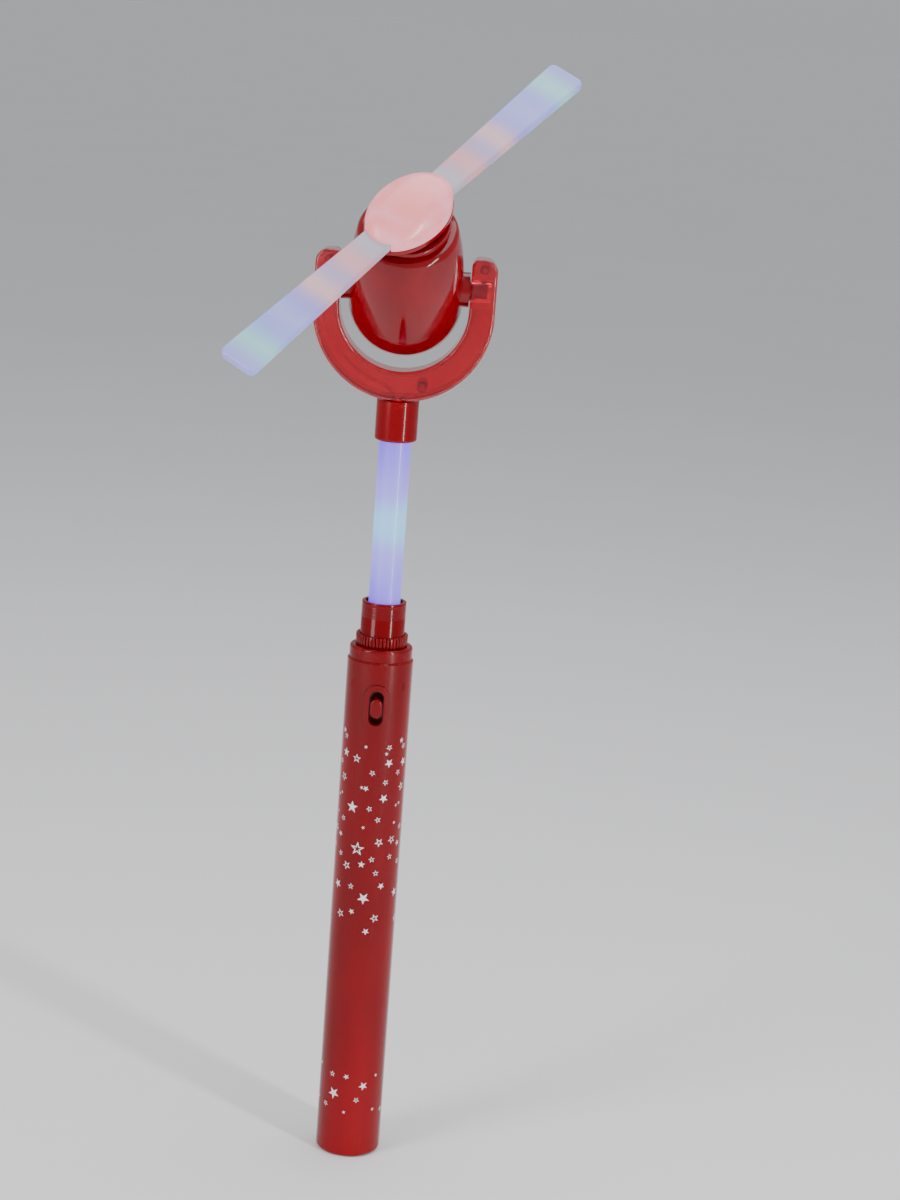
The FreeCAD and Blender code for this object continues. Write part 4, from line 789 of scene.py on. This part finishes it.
def makeStars(material):
    prints = {"handle": bmesh.new(), "battery_door": bmesh.new()}
    doorHalf = math.asin(doorHigh.x / handleRadius)
    starStep, repeatStep = stars["tiltSteps"]
    count = 0
    for across, solid, places in stars["groups"]:
        for repeat, (turn, lift) in enumerate(stars["repeats"]):
            for index, (degrees, height) in enumerate(places):
                angle = math.radians(degrees + turn)
                size = across * stars["growth"] * mm
                half = size / 2.0 / handleRadius
                lifted = height * mm + lift
                fromDoor = abs(math.remainder(angle - math.pi, math.tau))
                fromSeam = abs(math.remainder(angle - math.pi / 2.0, math.pi))
                margin = stars["doorMargin"] / handleRadius + half
                onDoor = fromDoor < doorHalf - margin
                inDoorSpan = doorLow.z - size < lifted < doorHigh.z + size
                if inDoorSpan and abs(fromDoor - doorHalf) < margin:
                    continue
                if fromSeam < stars["seamMargin"] / handleRadius + half:
                    continue
                turned = index * starStep + repeat * repeatStep
                tilt = math.radians(turned % stars["tiltSpan"] - stars["tiltSpan"] / 2.0)
                body = "battery_door" if onDoor and inDoorSpan else "handle"
                addStar(prints[body], angle, lifted, size, solid, tilt)
                count += 1
    finishPiece(prints["handle"], "handleStars", "handle", material)
    finishPiece(prints["battery_door"], "doorStars", "battery_door", material)
    print("stars: %d printed" % count)


def ringLoop(mesh, edges, radiusAt, height):  # the next loop of a turned piece, from the loop before
    made = bmesh.ops.extrude_edge_only(mesh, edges=edges)
    verts = [item for item in made["geom"] if isinstance(item, bmesh.types.BMVert)]
    for vert in verts:
        angle = math.atan2(vert.co.y, vert.co.x)
        radius = radiusAt(angle)
        vert.co = Vector((radius * math.cos(angle), radius * math.sin(angle), height))
    return [item for item in made["geom"] if isinstance(item, bmesh.types.BMEdge)]


lockRing = {
    "ribs": 44,
    "stepsPerRib": 8,
    "ribDepth": 0.62 * mm,
    "softEdge": 0.38 * mm,
    "boreGap": 0.15 * mm,
    "boreEdge": 0.2 * mm,
    "smoothBelow": 50.0,    # degrees
}


def makeLockRing(material):
    outer = ringHigh.x
    bore = neckHigh.x + lockRing["boreGap"]
    soft = lockRing["softEdge"]

    def ribbed(inset):
        def radiusAt(angle):
            wave = abs(math.cos(angle * lockRing["ribs"] / 2.0))
            return outer - inset - lockRing["ribDepth"] * (1.0 - min(1.0, 1.25 * wave ** 0.6))
        return radiusAt

    def plain(radius):
        return lambda angle: radius

    mesh = bmesh.new()
    bmesh.ops.create_circle(mesh, cap_ends=False, radius=outer,
                            segments=lockRing["ribs"] * lockRing["stepsPerRib"])
    first = mesh.edges[:]
    start = ribbed(soft)
    for vert in mesh.verts:
        angle = math.atan2(vert.co.y, vert.co.x)
        vert.co = Vector((start(angle) * math.cos(angle), start(angle) * math.sin(angle), ringLow.z))
    edges = ringLoop(mesh, first, ribbed(0.3 * soft), ringLow.z + 0.3 * soft)
    edges = ringLoop(mesh, edges, ribbed(0.0), ringLow.z + soft)
    edges = ringLoop(mesh, edges, ribbed(0.0), ringHigh.z - soft)
    edges = ringLoop(mesh, edges, ribbed(0.3 * soft), ringHigh.z - 0.3 * soft)
    edges = ringLoop(mesh, edges, ribbed(soft), ringHigh.z)
    edges = ringLoop(mesh, edges, plain(bore + lockRing["boreEdge"]), ringHigh.z)
    edges = ringLoop(mesh, edges, plain(bore), ringHigh.z - lockRing["boreEdge"])
    edges = ringLoop(mesh, edges, plain(bore), ringLow.z)
    bmesh.ops.bridge_loops(mesh, edges=first + edges)
    bmesh.ops.recalc_face_normals(mesh, faces=mesh.faces[:])
    piece = finishPiece(mesh, "ribbedLockRing", "lock_ring", material, lockRing["smoothBelow"])
    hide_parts("lock_ring")


neckSleeve = {
    "mouthDepth": 6.6 * mm,
    "mouthGap": 0.95 * mm,
    "rimRound": 0.35 * mm,
    "lines": 9,
    "linePitch": 0.55 * mm,
    "lineDepth": 0.05 * mm,
    "firstLine": 1.6 * mm,     # below the rim
    "lineShare": 0.22,      # half a line's width over the pitch
    "boreGap": 0.05 * mm,
    "steps": 128,
    "smoothBelow": 25.0,    # degrees
}


def makeNeck(material):
    outer = neckHigh.x
    bore = tubeHigh.x + neckSleeve["boreGap"]
    mouth = tubeHigh.x + neckSleeve["mouthGap"]
    rim = neckSleeve["rimRound"]
    top = neckHigh.z
    profile = [(bore, neckLow.z), (outer, neckLow.z)]
    lines = []
    for index in range(neckSleeve["lines"]):
        height = top - neckSleeve["firstLine"] - index * neckSleeve["linePitch"]
        half = neckSleeve["linePitch"] * neckSleeve["lineShare"]
        floor = outer - neckSleeve["lineDepth"]
        lines.append([(outer, height + half), (floor, height), (outer, height - half)])
    for groove in reversed(lines):
        profile += reversed(groove)
    profile += [(outer, top - rim), (outer - 0.3 * rim, top - 0.3 * rim), (outer - rim, top),
                (mouth + rim, top), (mouth + 0.3 * rim, top - 0.3 * rim), (mouth, top - rim),
                (mouth, top - neckSleeve["mouthDepth"]), (bore, top - neckSleeve["mouthDepth"])]
    mesh = bmesh.new()
    verts = [mesh.verts.new((radius, 0.0, height)) for radius, height in profile]
    edges = [mesh.edges.new((verts[index - 1], verts[index])) for index in range(len(verts))]
    bmesh.ops.spin(mesh, geom=verts + edges, cent=(0, 0, 0), axis=(0, 0, 1), angle=math.tau,
                   steps=neckSleeve["steps"], use_merge=True)
    bmesh.ops.remove_doubles(mesh, verts=mesh.verts[:], dist=0.001 * mm)
    bmesh.ops.recalc_face_normals(mesh, faces=mesh.faces[:])
    piece = finishPiece(mesh, "turnedNeck", "handle", material, neckSleeve["smoothBelow"])
    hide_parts("neck_sleeve")


def makeFloor():
    mesh = bmesh.new()
    bmesh.ops.create_grid(mesh, x_segments=2, y_segments=2, size=studio["floorSize"])
    data = bpy.data.meshes.new("paleFloor")
    mesh.to_mesh(data)
    mesh.free()
    data.materials.append(paleFloor())
    floor = bpy.data.objects.new("paleFloor", data)
    bpy.context.collection.objects.link(floor)


setCamera()
setStudio()
makeFloor()
print("camera, lights and floor set")
finishes = makeFinishes()
finishNodes(finishes)
print("finishes: %d" % len(finishes))
makeStars(printedStar())
makeLockRing(finishes["collarRed"])
makeNeck(finishes["sleeveRed"])
